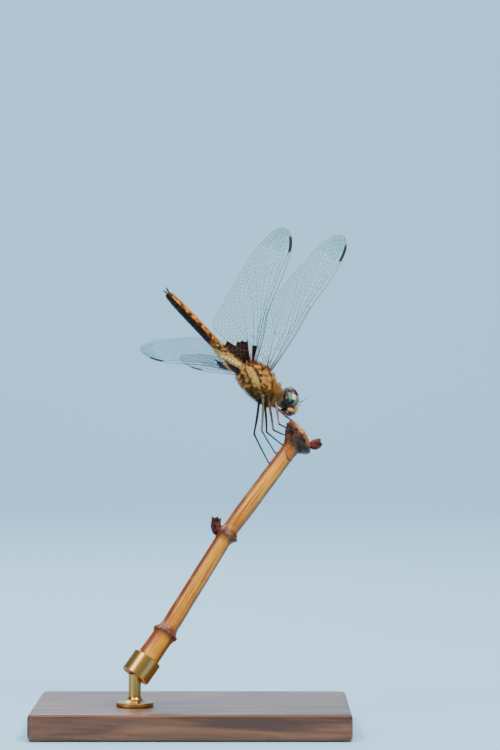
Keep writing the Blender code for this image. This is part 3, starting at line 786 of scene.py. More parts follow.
# %% [markdown]
# ## Veins and the root of a wing
# Veins are round rods, thickest on the leading edge and thinner to the tip, red near the
# hinge. They could be tubes of their own, but a wing has many hundreds, so all rods of one
# colour are drawn as one bevelled curve. At the root they run into a dark plate.

# %% Veins
VEIN_RADII = {"costa": 0.1, "subcosta": 0.06, "radius": 0.085, "radial_1": 0.06, "media": 0.06,
              "root_media": 0.07, "anal": 0.06}
PLAIN_VEIN, EDGE_VEIN, NOTCH_VEIN = 0.045, 0.03, 0.07
RED_END, DARK_START = 5.0, 4.2   # red and dark stretches of a vein overlap a little


def note_long_veins(edge, edge_front, lines, span, raised, rods):
    """Note the long veins and the rim of the wing."""
    for vein, path in [("costa", edge_front)] + list(lines.items()):
        thick = VEIN_RADII.get(vein, PLAIN_VEIN)
        spots = [(raised(p, PLEATS[vein]), thick * (1 - 0.62 * max(p.x, 0) / span)) for p in path]
        near = [(spot, radius * (1.7 - 0.14 * max(p.x, 0.0)))
                for (spot, radius), p in zip(spots, path) if p.x < RED_END]
        far = [spot for spot, p in zip(spots, path) if p.x >= DARK_START]
        if len(near) > 1:
            rods[RED].append(near)
        if len(far) > 1:
            rods[VEIN].append(far)
    trailing = edge[len(edge_front) - 1:]
    rods[VEIN].append([(raised(p, 0.0), EDGE_VEIN) for p in trailing])


def note_short_veins(wing, edge_front, lines, raised, rods):
    """Note the triangle, the arc, the notch and both ends of the stigma."""
    near, inner, low = (Vector((*corner, 0.0)) for corner in wing["triangle"])
    for a, b in ((near, inner), (near, low), (inner, low)):
        rods[VEIN].append([(raised(p, -0.08), PLAIN_VEIN) for p in (a, b)])
    start, end = wing["stigma"]
    bends = ((wing["arculus"], "radius", "root_media"), (wing["nodus"], "costa", "radius"),
             (wing["nodus"] + 0.1, "radius", "radial_1"), (start, "costa", "radius"),
             (end, "costa", "radius"))
    for x, front_vein, back_vein in bends:
        ends = []
        for vein in (front_vein, back_vein):
            path = edge_front if vein == "costa" else lines[vein]
            ends.append(raised(place_at(path, x), PLEATS[vein]))
        thick = NOTCH_VEIN if x == wing["nodus"] else PLAIN_VEIN
        rods[VEIN].append([(p, thick) for p in ends])


def lay_root(bm, is_hind, edge, edge_front, lines, raised, rods):
    """The dark plate between the wing and the thorax, and the stout ends of the long veins."""
    starts = [edge_front[0]] + [lines[vein][0] for vein in ("subcosta", "radius", "root_media",
                                                            "anal")] + [edge[-1]]
    ends = [(raised(p, 0.0), raised(Vector((-1.05, p.y * 0.72 - 0.1, 0.0)), 0.0)
             - Vector((0, 0, 0.25))) for p in starts]
    for (out_a, in_a), (out_b, in_b) in zip(ends, ends[1:]):
        face = bm.faces.new([bm.verts.new(p) for p in (out_a, in_a, in_b, out_b)])
        face.material_index = PATCH
    inner_edge = [p for p in edge[len(edge_front) - 1:] if is_hind and p.x < 1.6 and p.y > -4.2]
    for a, b in zip(inner_edge, inner_edge[1:]):
        strip = [raised(a, 0.0), raised(b, 0.0)]
        strip += [raised(Vector((-1.3, p.y * 0.9 - 0.15, 0.0)), 0.0) for p in (b, a)]
        face = bm.faces.new([bm.verts.new(p) for p in strip])
        face.material_index = PATCH
    for (outer, inner), start in list(zip(ends, starts))[:-1]:
        further = raised(start + Vector((1.6, start.y * 0.25, 0)), 0.0)
        rods[RED].append([(inner, 0.2), (outer, 0.15), (further, 0.06)])


# %% [markdown]
# ## Putting the wings together
# The four wings go through the same steps. Mirroring one side would be shorter, but each wing
# stands at its own angles, and real wings never match cell for cell. So each has its own
# seed, and its net stays the same each time the lesson is run.

# %% Wings


def make_wing(name, chance):
    """One wing: membrane by cells, the stigma, and all veins."""
    hinge, sweep, lift, pitch = WING_PLACES[name]
    side = 1.0 if name.endswith("left") else -1.0
    is_hind = "hind" in name
    wing = HIND_WING if is_hind else FORE_WING
    edge, edge_front, lines, fields = draw_wing(wing, chance)
    span = max(point.x for point in edge)
    turn = (Matrix.Rotation(math.radians(side * lift), 4, "X")
            @ Matrix.Rotation(math.radians(-side * sweep), 4, "Z")
            @ Matrix.Rotation(math.radians(-pitch), 4, "Y"))
    raised = wing_lift(name, edge, span, turn)
    rods = {VEIN: [], RED: [], AMBER_VEIN: []}
    membrane_shape = lay_membrane(name, wing, fields, span, raised, rods, chance)
    close_membrane(membrane_shape)
    note_long_veins(edge, edge_front, lines, span, raised, rods)
    note_short_veins(wing, edge_front, lines, raised, rods)
    lay_root(membrane_shape, is_hind, edge, edge_front, lines, raised, rods)
    shapes = [membrane_shape]
    for index, paths in rods.items():
        rod_shape = path_tube(paths, 6, False)
        for face in rod_shape.faces:
            face.material_index = index
        shapes.append(rod_shape)
    whole = joined(shapes)
    triangles = sum(len(f.verts) - 2 for f in whole.faces)
    place = body_frame @ Matrix.Translation(Vector(hinge)) @ turn
    settle(name.replace("wing", "veined_wing"), whole, place, WING_FINISHES, (name,),
           smooth=False)
    print(name, "cells", sum(len(cells) for cells, *_ in fields), "triangles", triangles)


for order, wing_name in enumerate(WING_PLACES):
    make_wing(wing_name, random.Random(11 + order))

# %% [markdown]
# ## The skin of neck, thorax and abdomen
# One skin runs from the neck to the end of the abdomen. It is a rolled grid: a table gives the
# width, top and bottom of the body at places along it, and each point of the grid is put on
# that outline. The ten rings of the abdomen are cut into the same skin as shallow joints, each
# ring a little wider behind than in front, with a keel along the back and a fold on each side.
# Sculpting could give the same form, but a table is easier to read and to correct.

# %% Body outline
JOIN_LENGTH = 0.25     # the short stretch that blends the thorax into the abdomen
# Distance behind the middle of the body, half width, top, bottom, squareness of the outline.
# The rows follow the solids, in places up to 0.1 mm inside them, as hair comes on top.
TRUNK = ((-6.72, 0.5, -0.98, -2.05, 2.0), (-6.3, 0.52, -1.02, -2.1, 2.0),
         (-6.02, 0.6, -1.0, -2.25, 2.0), (-5.88, 1.2, -0.75, -3.1, 2.0),
         (-5.5, 1.42, -0.85, -3.9, 2.1), (-5.1, 1.42, -0.95, -4.0, 2.2),
         (-4.88, 1.45, -0.85, -3.95, 2.3), (-4.5, 1.68, -0.6, -4.2, 2.3),
         (-3.8, 2.12, 0.6, -5.05, 2.35), (-2.7, 2.42, 2.42, -5.62, 2.35),
         (-1.5, 2.6, 3.66, -5.82, 2.35), (0.0, 2.7, 4.0, -5.66, 2.35),
         (1.6, 2.7, 4.0, -5.26, 2.35), (3.2, 2.55, 3.6, -4.52, 2.35),
         (4.6, 2.2, 2.6, -3.68, 2.3), (5.3, 1.9, 1.7, -3.0, 2.2), (5.6, 1.62, 1.15, -2.6, 2.1))
# length of each abdomen ring, then half width, top and bottom at its far end
RINGS = ((1.1, 1.72, 1.5, 1.75), (2.1, 1.78, 1.45, 1.7), (3.9, 1.4, 1.22, 1.35),
         (3.9, 1.34, 1.18, 1.25), (3.7, 1.34, 1.18, 1.22), (3.5, 1.32, 1.16, 1.2),
         (3.1, 1.26, 1.1, 1.15), (2.0, 1.14, 0.98, 1.05), (1.3, 0.98, 0.84, 0.92),
         (0.7, 0.78, 0.66, 0.72))
ring_ends = [0.3]
for length, *_ in RINGS:
    ring_ends.append(ring_ends[-1] + length)
TAIL = [(0.3, 1.56, 1.42, -1.66)] + [(end, w, top, -bottom) for end, (_, w, top, bottom)
                                     in zip(ring_ends[1:], RINGS)]
TRUNK_END, TAIL_END = TRUNK[-1][0], ring_ends[-1]
bend = Matrix.Translation(ABDOMEN_POINT) @ Matrix.Rotation(math.radians(ABDOMEN_LIFT), 4, "Y")


def super_round(angle, width, top, bottom, square):
    """A point on a rounded outline, angle 0 at the left side and 90 degrees on top."""
    y, z = math.cos(angle), math.sin(angle)
    swell = (abs(y) ** square + abs(z) ** square) ** (-1 / square)
    return y * swell * width, (top + bottom) / 2 + z * swell * (top - bottom) / 2


def ring_at(reach):
    """Which abdomen ring a place is in, and how far along that ring."""
    for number in range(10):
        if reach <= ring_ends[number + 1] or number == 9:
            length = ring_ends[number + 1] - ring_ends[number]
            return number, (reach - ring_ends[number]) / length


# angles round the abdomen: the keel on the back, a ridge on the right, a fold on each side
BACK_KEEL, SIDE_RIDGE = math.pi / 2, math.radians(202)
SIDE_FOLDS = (math.radians(218), math.radians(322))


def tail_point(reach, angle):
    """A point of the abdomen's skin in the body frame, reach from its root."""
    width, top, bottom = between(TAIL, reach)
    number, share = ring_at(reach)
    length = RINGS[number][0]
    joint = min(share, 1 - share) * length
    size = 1.0 - 0.055 * math.exp(-(joint / 0.09) ** 2)
    size *= 0.975 + 0.02 * share
    out = 0.035 * math.exp(-((angle - BACK_KEEL) / 0.16) ** 2)
    out += 0.03 * math.exp(-((angle - SIDE_RIDGE) / 0.12) ** 2)
    for fold in SIDE_FOLDS:
        out -= 0.045 * math.exp(-((angle - fold) / 0.1) ** 2)
    y, z = super_round(angle, width * size, top * size, bottom * size, 2.05)
    return bend @ Vector((-reach, y * (1 + out), z * (1 + out)))


# %% [markdown]
# ### Seams and the whole skin
# The plates of the thorax meet in seams, which show as shallow grooves. They could be cut into
# the mesh, but pushing in the points near a line is enough at this size. One function then
# answers for the whole skin, from the neck to the last ring.

# %% Seams and points of the skin
# seams of the thorax as lines on its side in the body frame: x, z
SEAMS = (
    ((0.9, 2.2), (1.9, 0.2), (2.6, -1.6), (3.2, -3.4), (3.6, -4.6)),
    ((-3.6, 0.6), (-2.75, -0.9), (-1.1, -2.56), (-0.2, -3.9), (0.6, -5.0)),
    ((-5.2, -1.6), (-4.4, -2.6), (-3.2, -3.8), (-2.2, -4.7)),
)
seam_paths = [smooth_path([(x, 0.0, z) for x, z in seam], 0.3) for seam in SEAMS]


def seam_room(place):
    """How far a point on the side of the thorax is from the nearest seam."""
    flat = Vector((place.x, 0.0, place.z))
    return min(distance_to(path, flat) for path in seam_paths)


def trunk_point(reach, angle):
    """A point of the skin of neck and thorax in the body frame."""
    width, top, bottom, square = between(TRUNK, reach)
    y, z = super_round(angle, width, top, bottom, square)
    place = Vector((-reach, y, z))
    if reach > -5.2:
        middle = Vector((-reach, 0.0, (top + bottom) / 2))
        out = (place - middle).normalized()
        depth = 0.0
        if abs(y) > 0.35 * width:
            depth -= 0.13 * math.exp(-(seam_room(place) / 0.17) ** 2)
        depth += 0.05 * noise.noise(place * 0.9) + 0.03 * noise.noise(place * 2.3)
        keel = math.exp(-(y / 0.14) ** 2) * (1 if place.x > 1.5 else 0)
        depth += 0.06 * keel * (1 if z > -1 else 0)
        place += out * depth
    return place


BODY_LENGTH = TRUNK_END - TRUNK[0][0] + TAIL_END - ring_ends[0] + JOIN_LENGTH


def skin_point(share, angle):
    """A point of the whole skin: first the trunk, then the abdomen, closed at both ends."""
    reach = TRUNK[0][0] + share * BODY_LENGTH
    if share <= 0.0:
        return Vector((6.72, 0.0, -1.5))
    if share >= 1.0:
        return bend @ Vector((-TAIL_END, 0.0, 0.0))
    if reach <= TRUNK_END:
        return trunk_point(reach, angle)
    reach = ring_ends[0] + (reach - TRUNK_END - JOIN_LENGTH)
    if reach < ring_ends[0]:
        blend = (ring_ends[0] - reach) / JOIN_LENGTH
        return trunk_point(TRUNK_END, angle).lerp(tail_point(ring_ends[0], angle), 1 - blend)
    return tail_point(min(reach, TAIL_END), angle)


# %% [markdown]
# ## Markings of the body
# The markings are masks kept on the points of the skin, found from where each point is: on the
# abdomen, from the ring, the way along it and the angle round it; on the thorax, from bands
# and spots given by their middle and size. The hair later takes the same masks from its root,
# so skin and hair share one pattern.

# %% Body markings


def bump(value, middle, half, edge):
    """1 within half of a middle value, falling softly to 0 over an edge."""
    return 1.0 - soft(abs(value - middle), half, half + edge)


def band(place, start, end, width):
    """A soft mask along a line from start to end, as wide as given."""
    room = distance_to((Vector(start), Vector(end)), place)
    return 1.0 - soft(room, width * 0.6, width)


def trunk_marks(place):
    """Pale stripe, dark seams and spots, orange front and rusty wing roots of the thorax."""
    flat = Vector((place.x, 0.0, place.z))
    ripple = 0.3 * noise.noise(place * 1.3)
    side = soft(abs(place.y), 0.9, 1.6)
    pale = side * band(flat, (-4.2, 0, -1.3), (-1.45, 0, -3.95), 1.1 + ripple)
    pale = max(pale, 0.25 * side * band(flat, (0.2, 0, 0.6), (1.3, 0, -2.3), 1.25 + ripple))
    dark = 0.9 * math.exp(-(seam_room(place) / 0.2) ** 2) * side
    for x, z, size in ((0.42, -3.3, 0.4), (0.16, -4.14, 0.42), (-1.9, 0.1, 0.3), (1.2, -4.4, 0.5),
                       (-3.1, -4.1, 0.4), (2.6, -2.6, 0.35)):
        dark = max(dark, side * (1 - soft((flat - Vector((x, 0, z))).length, size * 0.6, size)))
    under = soft(-place.z + 0.28 * place.x, 4.0, 5.0) * (1 - pale)
    orange = 0.9 * soft(place.x, 1.9, 3.2) * (1 - soft(place.x, 3.7, 4.4))
    pale = max(pale, 0.5 * soft(place.x, 4.2, 4.9))
    root_line = 0.25 + 0.42 * (place.x + 4.5)
    root = soft(place.z, root_line - 0.1, root_line + 0.5) * (1 - soft(place.x, 0.9, 1.8))
    return {"pale": pale, "dark": max(dark, 0.75 * under), "orange": orange, "tail": 0.0,
            "black": 0.0, "root": root, "dots": 0.0}


DOT_PITCH = 0.85       # distance between the pale tufts at the root of the abdomen


def dot_row(reach):
    """How far from the top the row of pale tufts runs, in degrees, at a place along."""
    return 101 + 15 * (reach - ring_ends[0])


def tail_marks(reach, angle):
    """Orange back and dark flanks of the abdomen, with half-round spots between them."""
    number, share = ring_at(reach)
    from_top = abs(math.degrees(angle) - 90)
    from_top = min(from_top, 360 - from_top)
    wave = 6 * noise.noise(Vector((reach * 1.3, from_top * 0.05, number)))
    spot = 0.0
    if number >= 2:
        length = RINGS[number][0]
        room = Vector(((1 - share) * length - 0.5, (from_top - 112) / 34 * 1.3)).length
        spot = 1 - soft(room, 0.42, 0.72)
    edge_angle = 127 + wave
    black = max(soft(from_top, edge_angle - 5, edge_angle + 5), spot)
    black = max(black, 0.7 * (1 - soft(from_top, 2.0, 6.0)))
    root = (1 - soft(reach, 7.6, 10.4)) * soft(from_top - 7 * max(reach - 4.5, 0.0), 58, 76)
    row = dot_row(reach)
    pale_band = bump(from_top, row - 4, 22, 14) * root * (1 - soft(reach, 6.4, 8.0))
    dots = 0.0
    if root > 0:
        room = math.hypot(((reach - ring_ends[0]) / DOT_PITCH % 1.0 - 0.5) * DOT_PITCH,
                          (from_top - row) * 0.026)
        dots = root * (1 - soft(room, 0.16, 0.34)) * (1 - soft(reach, 5.4, 6.0))
        below = soft(from_top, row + 30, row + 40)
        black = black * (1 - root) + root * below * (1 - soft(reach, 3.5, 5.0))
    streak = bump(from_top, 121, 7, 5) * soft(reach, 20.8, 21.6) * (1 - soft(reach, 23.6, 24.6))
    dark = math.exp(-(min(share, 1 - share) * RINGS[number][0] / 0.07) ** 2)
    pale = max(pale_band, streak)
    return {"pale": pale, "dark": 0.6 * dark, "orange": 1.0 - root, "tail": 1.0 - root,
            "black": black * (1 - pale) * (1 - dots), "root": 0.0, "dots": dots}


def marks_at(share, angle):
    """All masks at a point of the rolled skin."""
    reach = TRUNK[0][0] + share * BODY_LENGTH
    if reach <= TRUNK_END:
        return trunk_marks(trunk_point(reach, angle))
    reach = max(reach - TRUNK_END - JOIN_LENGTH + ring_ends[0], ring_ends[0])
    return tail_marks(min(reach, TAIL_END), angle)


# %% [markdown]
# ### Colours of skin and hair
# The thorax is sand with brown flecks, the abdomen orange with dark flanks. Skin and hair could
# have finishes of their own, but a hair has the colour of the skin it grows from, only
# lighter. So one function makes both.

# %% Finish of the body


def body_finish(name, roughness, lighter=0.0):
    """The finish shared by the skin and the hair of the body; hair is the lighter of the two."""
    material = finish(name, tone(120, 90, 52), roughness, specular_ior_level=0.14)

    def shade(*colour):
        """A colour, lightened for hair."""
        return tone(*(c + (goal - c) * lighter for c, goal in zip(colour, (236, 196, 132))))

    ground = mixed(material, speckle(material, 0.95, 0.43, 0.57, 5.0),
                   shade(42, 21, 5), shade(186, 126, 54))
    tail_ground = mixed(material, speckle(material, 1.1, 0.36, 0.66),
                        shade(126, 56, 4), shade(208, 122, 14))
    flank = mixed(material, speckle(material, 1.4, 0.5, 0.72), shade(14, 8, 6), shade(78, 36, 10))
    layered(material, ground, [
        (patchy(material, "orange", 1.2, 0.25, 0.6), shade(174, 108, 36)),
        ("tail", tail_ground),
        (patchy(material, "pale", 1.3, 0.22, 0.56), shade(182, 146, 78)),
        (patchy(material, "dark", 1.7, 0.2, 0.45), shade(24, 12, 6)),
        (patchy(material, "root", 1.1, 0.2, 0.5), shade(78, 26, 8)),
        ("black", flank),
        ("dots", tone(236, 222, 186))])
    return material


body_skin_finish = body_finish("body skin", 0.5)
relief(body_skin_finish, speckle(body_skin_finish, 6.0, 0.2, 0.8), 0.03, 0.6)

# %% [markdown]
# ## Making the skin
# A body without seams could be a metaball or a remeshed sum of the solids, but then it would
# have no rows to carry the markings. A grid rolled round the body keeps them: its columns run
# along the body and its rows round it, fine enough for the smallest spot.

# %% Make the skin
MASKS = ("pale", "dark", "orange", "tail", "black", "root", "dots")


def marked_skin(share, angle):
    """A point of the skin and its masks."""
    return skin_point(share, angle), marks_at(share, angle)


skin_nodes = ["neck", "prothorax", "thorax"] + [f"abdomen_{n:02d}" for n in range(1, 11)]
skin = settle("body_skin", roll(300, 72, MASKS, marked_skin), body_frame,
              (body_skin_finish,), skin_nodes)
print("skin faces", len(skin.data.polygons))

# %% [markdown]
# ## The eyes
# Two great eyes meet on top of the head, each an egg that leans back and inward. They are
# glossy and banded: brown on top, then upright bands of grey-green, cream and pale green, and
# a purple-grey field below with a black spot, the false pupil. The bands are masks found from
# two directions across the eye, so they bend with it. They could be a colour ramp round one
# axis, but real bands cross each other, and layers of masks can do that.

# %% Eyes
EYE_PLACE = (-0.1, 1.95, 1.4)
EYE_SIZE = (1.44, 2.0, 2.34)
EYE_PITCH = -37.0      # the top of the eye leans back
EYE_ROLL = 9.0         # and inward
LEAN_COS, LEAN_SIN = 0.906, 0.423   # the bands of the eye lean by 25 degrees


def leaned(x, z):
    """Across and up of a place in the head's side view, in directions leaned with the bands."""
    return LEAN_COS * x + LEAN_SIN * z, -LEAN_SIN * x + LEAN_COS * z


def eye_marks(x, z):
    """The bands of the eye at a place in the side view of the head."""
    across, up = leaned(x, z)
    across += 0.24
    bend_in = across - 0.10 * (up - 1.8) ** 2
    brown = soft(z - 0.03 * x, 2.05, 2.33)
    upper = soft(up, 0.7, 1.15)
    cream = bump(bend_in, 0.8, 0.34, 0.14) * soft(up, 0.75, 1.1)
    green = max(bump(bend_in, -0.22, 0.26, 0.14), 0.6 * bump(bend_in, 1.78, 0.28, 0.16)) * upper
    purple = bump(across, -0.12, 0.34, 0.22) * bump(up, 0.7, 0.42, 0.35)
    along_spot = 0.5 * (across - 0.42) + 0.87 * (up - 0.33)
    beside_spot = 0.87 * (across - 0.42) - 0.5 * (up - 0.33)
    room = math.hypot(along_spot / 0.66, beside_spot / 0.31)
    pupil = 1.0 - soft(room, 0.9, 1.1)
    halo = bump(room, 2.1, 0.4, 0.5)
    shade = max(1.0 - soft(up + 0.3 * across, -0.75, -0.25), 1.0 - soft(across, -0.98, -0.75))
    return {"brown": brown, "cream": cream, "green": green, "purple": purple, "pupil": pupil,
            "halo": halo, "shade": shade}


def make_eye(side, sign):
    """One eye, with its bands kept on its points."""
    bm = bmesh.new()
    kept = {name: bm.verts.layers.float.new(name)
            for name in ("brown", "cream", "green", "purple", "pupil", "halo", "shade")}
    bmesh.ops.create_uvsphere(bm, u_segments=88, v_segments=64, radius=1.0)
    turn = (frame_at((EYE_PLACE[0], sign * EYE_PLACE[1], EYE_PLACE[2]), (sign * EYE_ROLL, 0, 0))
            @ Matrix.Rotation(math.radians(EYE_PITCH), 4, "Y"))
    for vert in bm.verts:
        vert.co = turn @ Vector(a * b for a, b in zip(vert.co, EYE_SIZE))
        for name, value in eye_marks(vert.co.x, vert.co.z).items():
            vert[kept[name]] = value
    return settle("banded_eye_" + side, bm, head_frame, (eye_finish,), ("eye_" + side,))


eye_finish = finish("banded eye", tone(70, 88, 88), 0.34, coat_weight=0.05,
                    coat_roughness=0.1, specular_ior_level=0.3)
eye_ground = mixed(eye_finish, speckle(eye_finish, 2.2, 0.35, 0.65),
                   tone(66, 66, 66), tone(108, 110, 100))
layered(eye_finish, eye_ground, [
    ("purple", tone(84, 56, 62)),
    ("halo", tone(98, 108, 100)),
    ("green", tone(110, 158, 130)),
    ("cream", tone(226, 212, 150)),
    ("brown", tone(50, 18, 18)),
    ("shade", tone(20, 12, 10)),
    ("pupil", tone(2, 2, 3))])
facets = node(eye_finish, "ShaderNodeTexVoronoi", {
    "Vector": node(eye_finish, "ShaderNodeTexCoord").outputs["Object"], "Scale": 16000.0},
    feature="F1")
relief(eye_finish, facets.outputs["Distance"], 0.006, 0.35)
eyes = [make_eye("left", 1.0), make_eye("right", -1.0)]
print("eye size in mm", [round(v * 1000, 2) for v in eyes[0].dimensions])

# %% [markdown]
# ## The head capsule and the face
# The head is a shell of plates with seams between them. Each plate is an egg shape with a
# bulge or a groove of its own: the two-lobed frons, the clypeus in two steps, the upper lip,
# the jaws, the lobes of the lower lip. Where two plates meet, they leave a natural seam. The
# back of the head is black, with a pale spot behind each eye. One sculpted head could show
# the same, but separate plates can each have their own colour and be moved.

# %% Plates of the head


def plate(name, centre, radii, material, replaced=(), form=None, around=32):
    """An egg-shaped plate of the head; form may push its points about."""
    bm = bmesh.new()
    spot = bm.verts.layers.float.new("spot")
    bmesh.ops.create_uvsphere(bm, u_segments=around, v_segments=around * 3 // 4, radius=1.0)
    for vert in bm.verts:
        unit = vert.co.copy()
        local = Vector(a * b for a, b in zip(unit, radii))
        value = 0.0
        if form:
            local, value = form(unit, local)
        vert.co = Vector(centre) + local
        vert[spot] = value
    return settle(name, bm, head_frame, (material,), replaced)


def frons_form(unit, local):
    """Two lobes with a groove between, and a brown patch high on the front."""
    groove = math.exp(-(unit.y / 0.16) ** 2) * max(unit.x, 0.0) * (0.35 + 0.65 * max(unit.z, 0))
    local.x -= 0.22 * groove
    local.z -= 0.16 * groove * max(unit.z, 0.0)
    patch = (1 - soft(abs(abs(unit.y) - 0.42), 0.16, 0.3)) * (1 - soft(abs(unit.z - 0.28), 0.1,
                                                                       0.3))
    return local, max(patch, soft(unit.z, 0.82, 0.95))


def lip_form(unit, local):
    """The upper lip: flat below, notched in the middle, with a dark lower edge."""
    if unit.z < -0.4:
        local.z = -0.4 * abs(local.z / unit.z) + 0.25 * (local.z + 0.4 * abs(local.z / unit.z))
    return local, soft(-unit.z, 0.1, 0.45)


def jaw_form(unit, local):
    """A jaw with a dark tip."""
    return local, soft(-unit.z + 0.5 * unit.x, 0.25, 0.75)


def face_finish(name, light, dark, spot):
    """A waxy plate with a soft mottle and spots."""
    material = finish(name, light, 0.34, coat_weight=0.25, coat_roughness=0.2)
    ground = mixed(material, speckle(material, 1.8, 0.4, 0.66), light, dark)
    layered(material, ground, [("spot", spot)])
    relief(material, speckle(material, 14.0, 0.3, 0.7), 0.012, 0.5)
    return material


# %% [markdown]
# ### Laying the plates
# Each plate gets its place and size in the head's frame, close to those of its solid. It could
# be parented to the head, but the frame's matrix does the same in one step.

# %% Lay the plates
frons_finish = face_finish("frons", tone(240, 204, 132), tone(214, 146, 62), tone(112, 58, 18))
clypeus_finish = face_finish("clypeus", tone(222, 138, 48), tone(168, 84, 16),
                             tone(120, 60, 16))
lip_finish = face_finish("upper lip", tone(130, 62, 18), tone(70, 32, 8), tone(22, 12, 8))
jaw_finish = face_finish("jaw", tone(236, 166, 78), tone(176, 92, 30), tone(30, 16, 10))
low_lip_finish = face_finish("lower lip", tone(92, 52, 26), tone(60, 32, 16), tone(24, 14, 8))

plate("frons_plate", (1.28, 0, 0.08), (1.36, 1.9, 1.16), frons_finish, ("frons",),
      form=frons_form, around=48)
plate("clypeus_upper", (1.24, 0, -0.98), (1.42, 1.86, 0.66), clypeus_finish, ("clypeus",))
plate("clypeus_lower", (1.2, 0, -1.5), (1.46, 1.55, 0.5), clypeus_finish)
plate("upper_lip", (1.02, 0, -2.14), (1.45, 1.7, 0.95), lip_finish, ("labrum",),
      form=lip_form, around=40)
for side, sign in (("left", 1), ("right", -1)):
    plate("jaw_" + side, (0.72, sign * 1.92, -1.66), (0.95, 0.74, 0.74), jaw_finish,
          form=jaw_form)
    plate("lower_lip_" + side, (0.35, sign * 1.02, -2.7), (1.45, 1.25, 0.74), low_lip_finish,
          ("labium",) if sign > 0 else ())
plate("lower_lip_middle", (-0.5, 0, -2.72), (1.0, 0.5, 0.5), low_lip_finish, ())

vertex_finish = face_finish("vertex", tone(74, 44, 34), tone(110, 66, 44), tone(30, 18, 12))
ocellus_finish = finish("ocellus", tone(70, 34, 16), 0.08, coat_weight=1.0)
plate("vertex_knob", (1.02, 0, 1.66), (0.5, 0.62, 0.62), vertex_finish)
for number, (x, y, z) in enumerate(((1.5, 0.0, 1.5), (1.1, 0.5, 1.95), (1.1, -0.5, 1.95))):
    plate(f"ocellus_{number}", (x, y, z), (0.16, 0.18, 0.18), ocellus_finish, around=16)

# %% [markdown]
# ### The capsule
# The capsule closes the head behind the eyes, where it is hollow for the neck. A flat sphere
# would be close, but the hollow and the forward chin are easier on a rolled skin.

# %% Head capsule
# x, half width, top, bottom of the capsule behind and between the eyes
CAPSULE = ((-2.56, 0.0, 0.25, 0.25), (-2.54, 1.6, 2.0, -1.6), (-2.42, 2.5, 2.7, -2.1),
           (-2.1, 3.0, 3.0, -2.25), (-1.5, 3.2, 3.0, -2.3), (-1.05, 3.1, 2.7, -2.3),
           (-0.5, 2.85, 1.9, -2.3), (0.1, 2.5, 0.8, -2.3), (0.7, 2.2, 0.0, -2.25),
           (1.1, 1.8, -0.6, -2.1), (1.25, 0.0, -1.35, -1.35))


def capsule_point(share, angle):
    """A point of the capsule; its lower edge reaches further forward than its upper edge."""
    x = CAPSULE[0][0] + share * (CAPSULE[-1][0] - CAPSULE[0][0])
    width, top, bottom = between(CAPSULE, x)
    y, z = super_round(angle, max(width, 0.0), top, bottom, 2.2)
    forward = 0.16 * (0.4 - z) * math.sin(math.pi * min(max(share, 0.0), 1.0))
    hollow = 0.4 * math.exp(-((y / 1.5) ** 2 + ((z - 0.1) / 1.4) ** 2)) * (share < 0.3)
    return Vector((x + forward + hollow * (1 - share / 0.3), y, z))


def marked_capsule(share, angle):
    """A point of the capsule and its masks: a pale spot behind each eye, a brown cheek."""
    place = capsule_point(share, angle)
    across, up = leaned(place.x, place.z)
    room = math.hypot((across + 1.1) / 0.2, (up - 1.42) / 0.42)
    spot = (1 - soft(room, 0.5, 0.75)) * soft(abs(place.y), 2.0, 2.4)
    return place, {"spot": spot, "cheek": soft(place.x, -0.9, 0.3) * soft(-place.z, 0.6, 1.4)}


capsule_finish = finish("head capsule", tone(14, 9, 8), 0.5, specular_ior_level=0.3)
capsule_ground = mixed(capsule_finish, speckle(capsule_finish, 1.4, 0.45, 0.7),
                       tone(16, 11, 10), tone(50, 24, 20))
layered(capsule_finish, capsule_ground, [("cheek", tone(104, 68, 40)),
                                         ("spot", tone(172, 140, 104))])
capsule = settle("head_capsule", roll(60, 64, ("spot", "cheek"), marked_capsule), head_frame,
                 (capsule_finish,), ("head",))
print("head capsule faces", len(capsule.data.polygons))

# %% [markdown]
# ## Feelers and tail points
# The feelers of a dragonfly are short bristles: two stout joints, then a thread. At the end of
# the body stand two dark, slightly curved points. Both are rods whose thickness changes along
# the way, which is simpler than stacking cones and leaves no steps in the curve.

# %% Feelers and tail points
horn_finish = finish("dark horn", tone(26, 20, 20), 0.3)
for side, sign in (("left", 1.0), ("right", -1.0)):
    path = smooth_path([(2.05, sign * 0.42, 1.0), (2.6, sign * 0.55, 1.35),
                        (3.0, sign * 0.78, 1.85), (3.3, sign * 0.95, 2.4)], 0.06)
    thickness = [0.13 if i < 5 else 0.1 if i < 10 else 0.055 - 0.03 * (i - 10) / len(path)
                 for i in range(len(path))]
    settle("feeler_" + side, path_tube([list(zip(path, thickness))], 10), head_frame,
           (horn_finish,), ("antenna_" + side,))
    path = smooth_path([(-25.3, sign * 0.3, 0.2), (-25.9, sign * 0.42, 0.34),
                        (-26.5, sign * 0.58, 0.4), (-26.95, sign * 0.6, 0.42)], 0.08)
    thickness = [0.2 * (1 - (i / len(path)) ** 3) + 0.03 for i in range(len(path))]
    settle("tail_point_" + side, path_tube([list(zip(path, thickness))], 12),
           abdomen_frame, (horn_finish,), ("cercus_" + side,))

# %% [markdown]
# ## The legs
# Six thin, spiny legs hang from the front of the thorax and grip the twig. Each has a coxa, a
# thigh, a shin and a jointed foot with two claws. The thigh and shin are rods along a gently
# bent path, thicker where the joints are; the spines are small cones in two rows, joined
# into the same mesh. The legs differ in colour: their own horn is brown and black, and on top
# of that painted light makes the legs that catch the light paler, and painted shade keeps the
# others dark. A rig could pose them, but the feet have to meet the bark, so each is built
# from hip, knee and toe.

# %% Places of the legs
TWIG_TOP = Vector((27.1, 9.2, 71.8))
TWIG_NODE_1 = Vector((8.4, 1.7, 47.0))
TWIG_NODE_2 = Vector((-6.1, -5.5, 23.9))
TWIG_END = Vector((-12.7, -8.4, 14.7))
HIPS = {"fore": (5.0, 0.75, -4.3), "mid": (3.3, 0.85, -5.6), "hind": (1.7, 0.9, -6.0)}
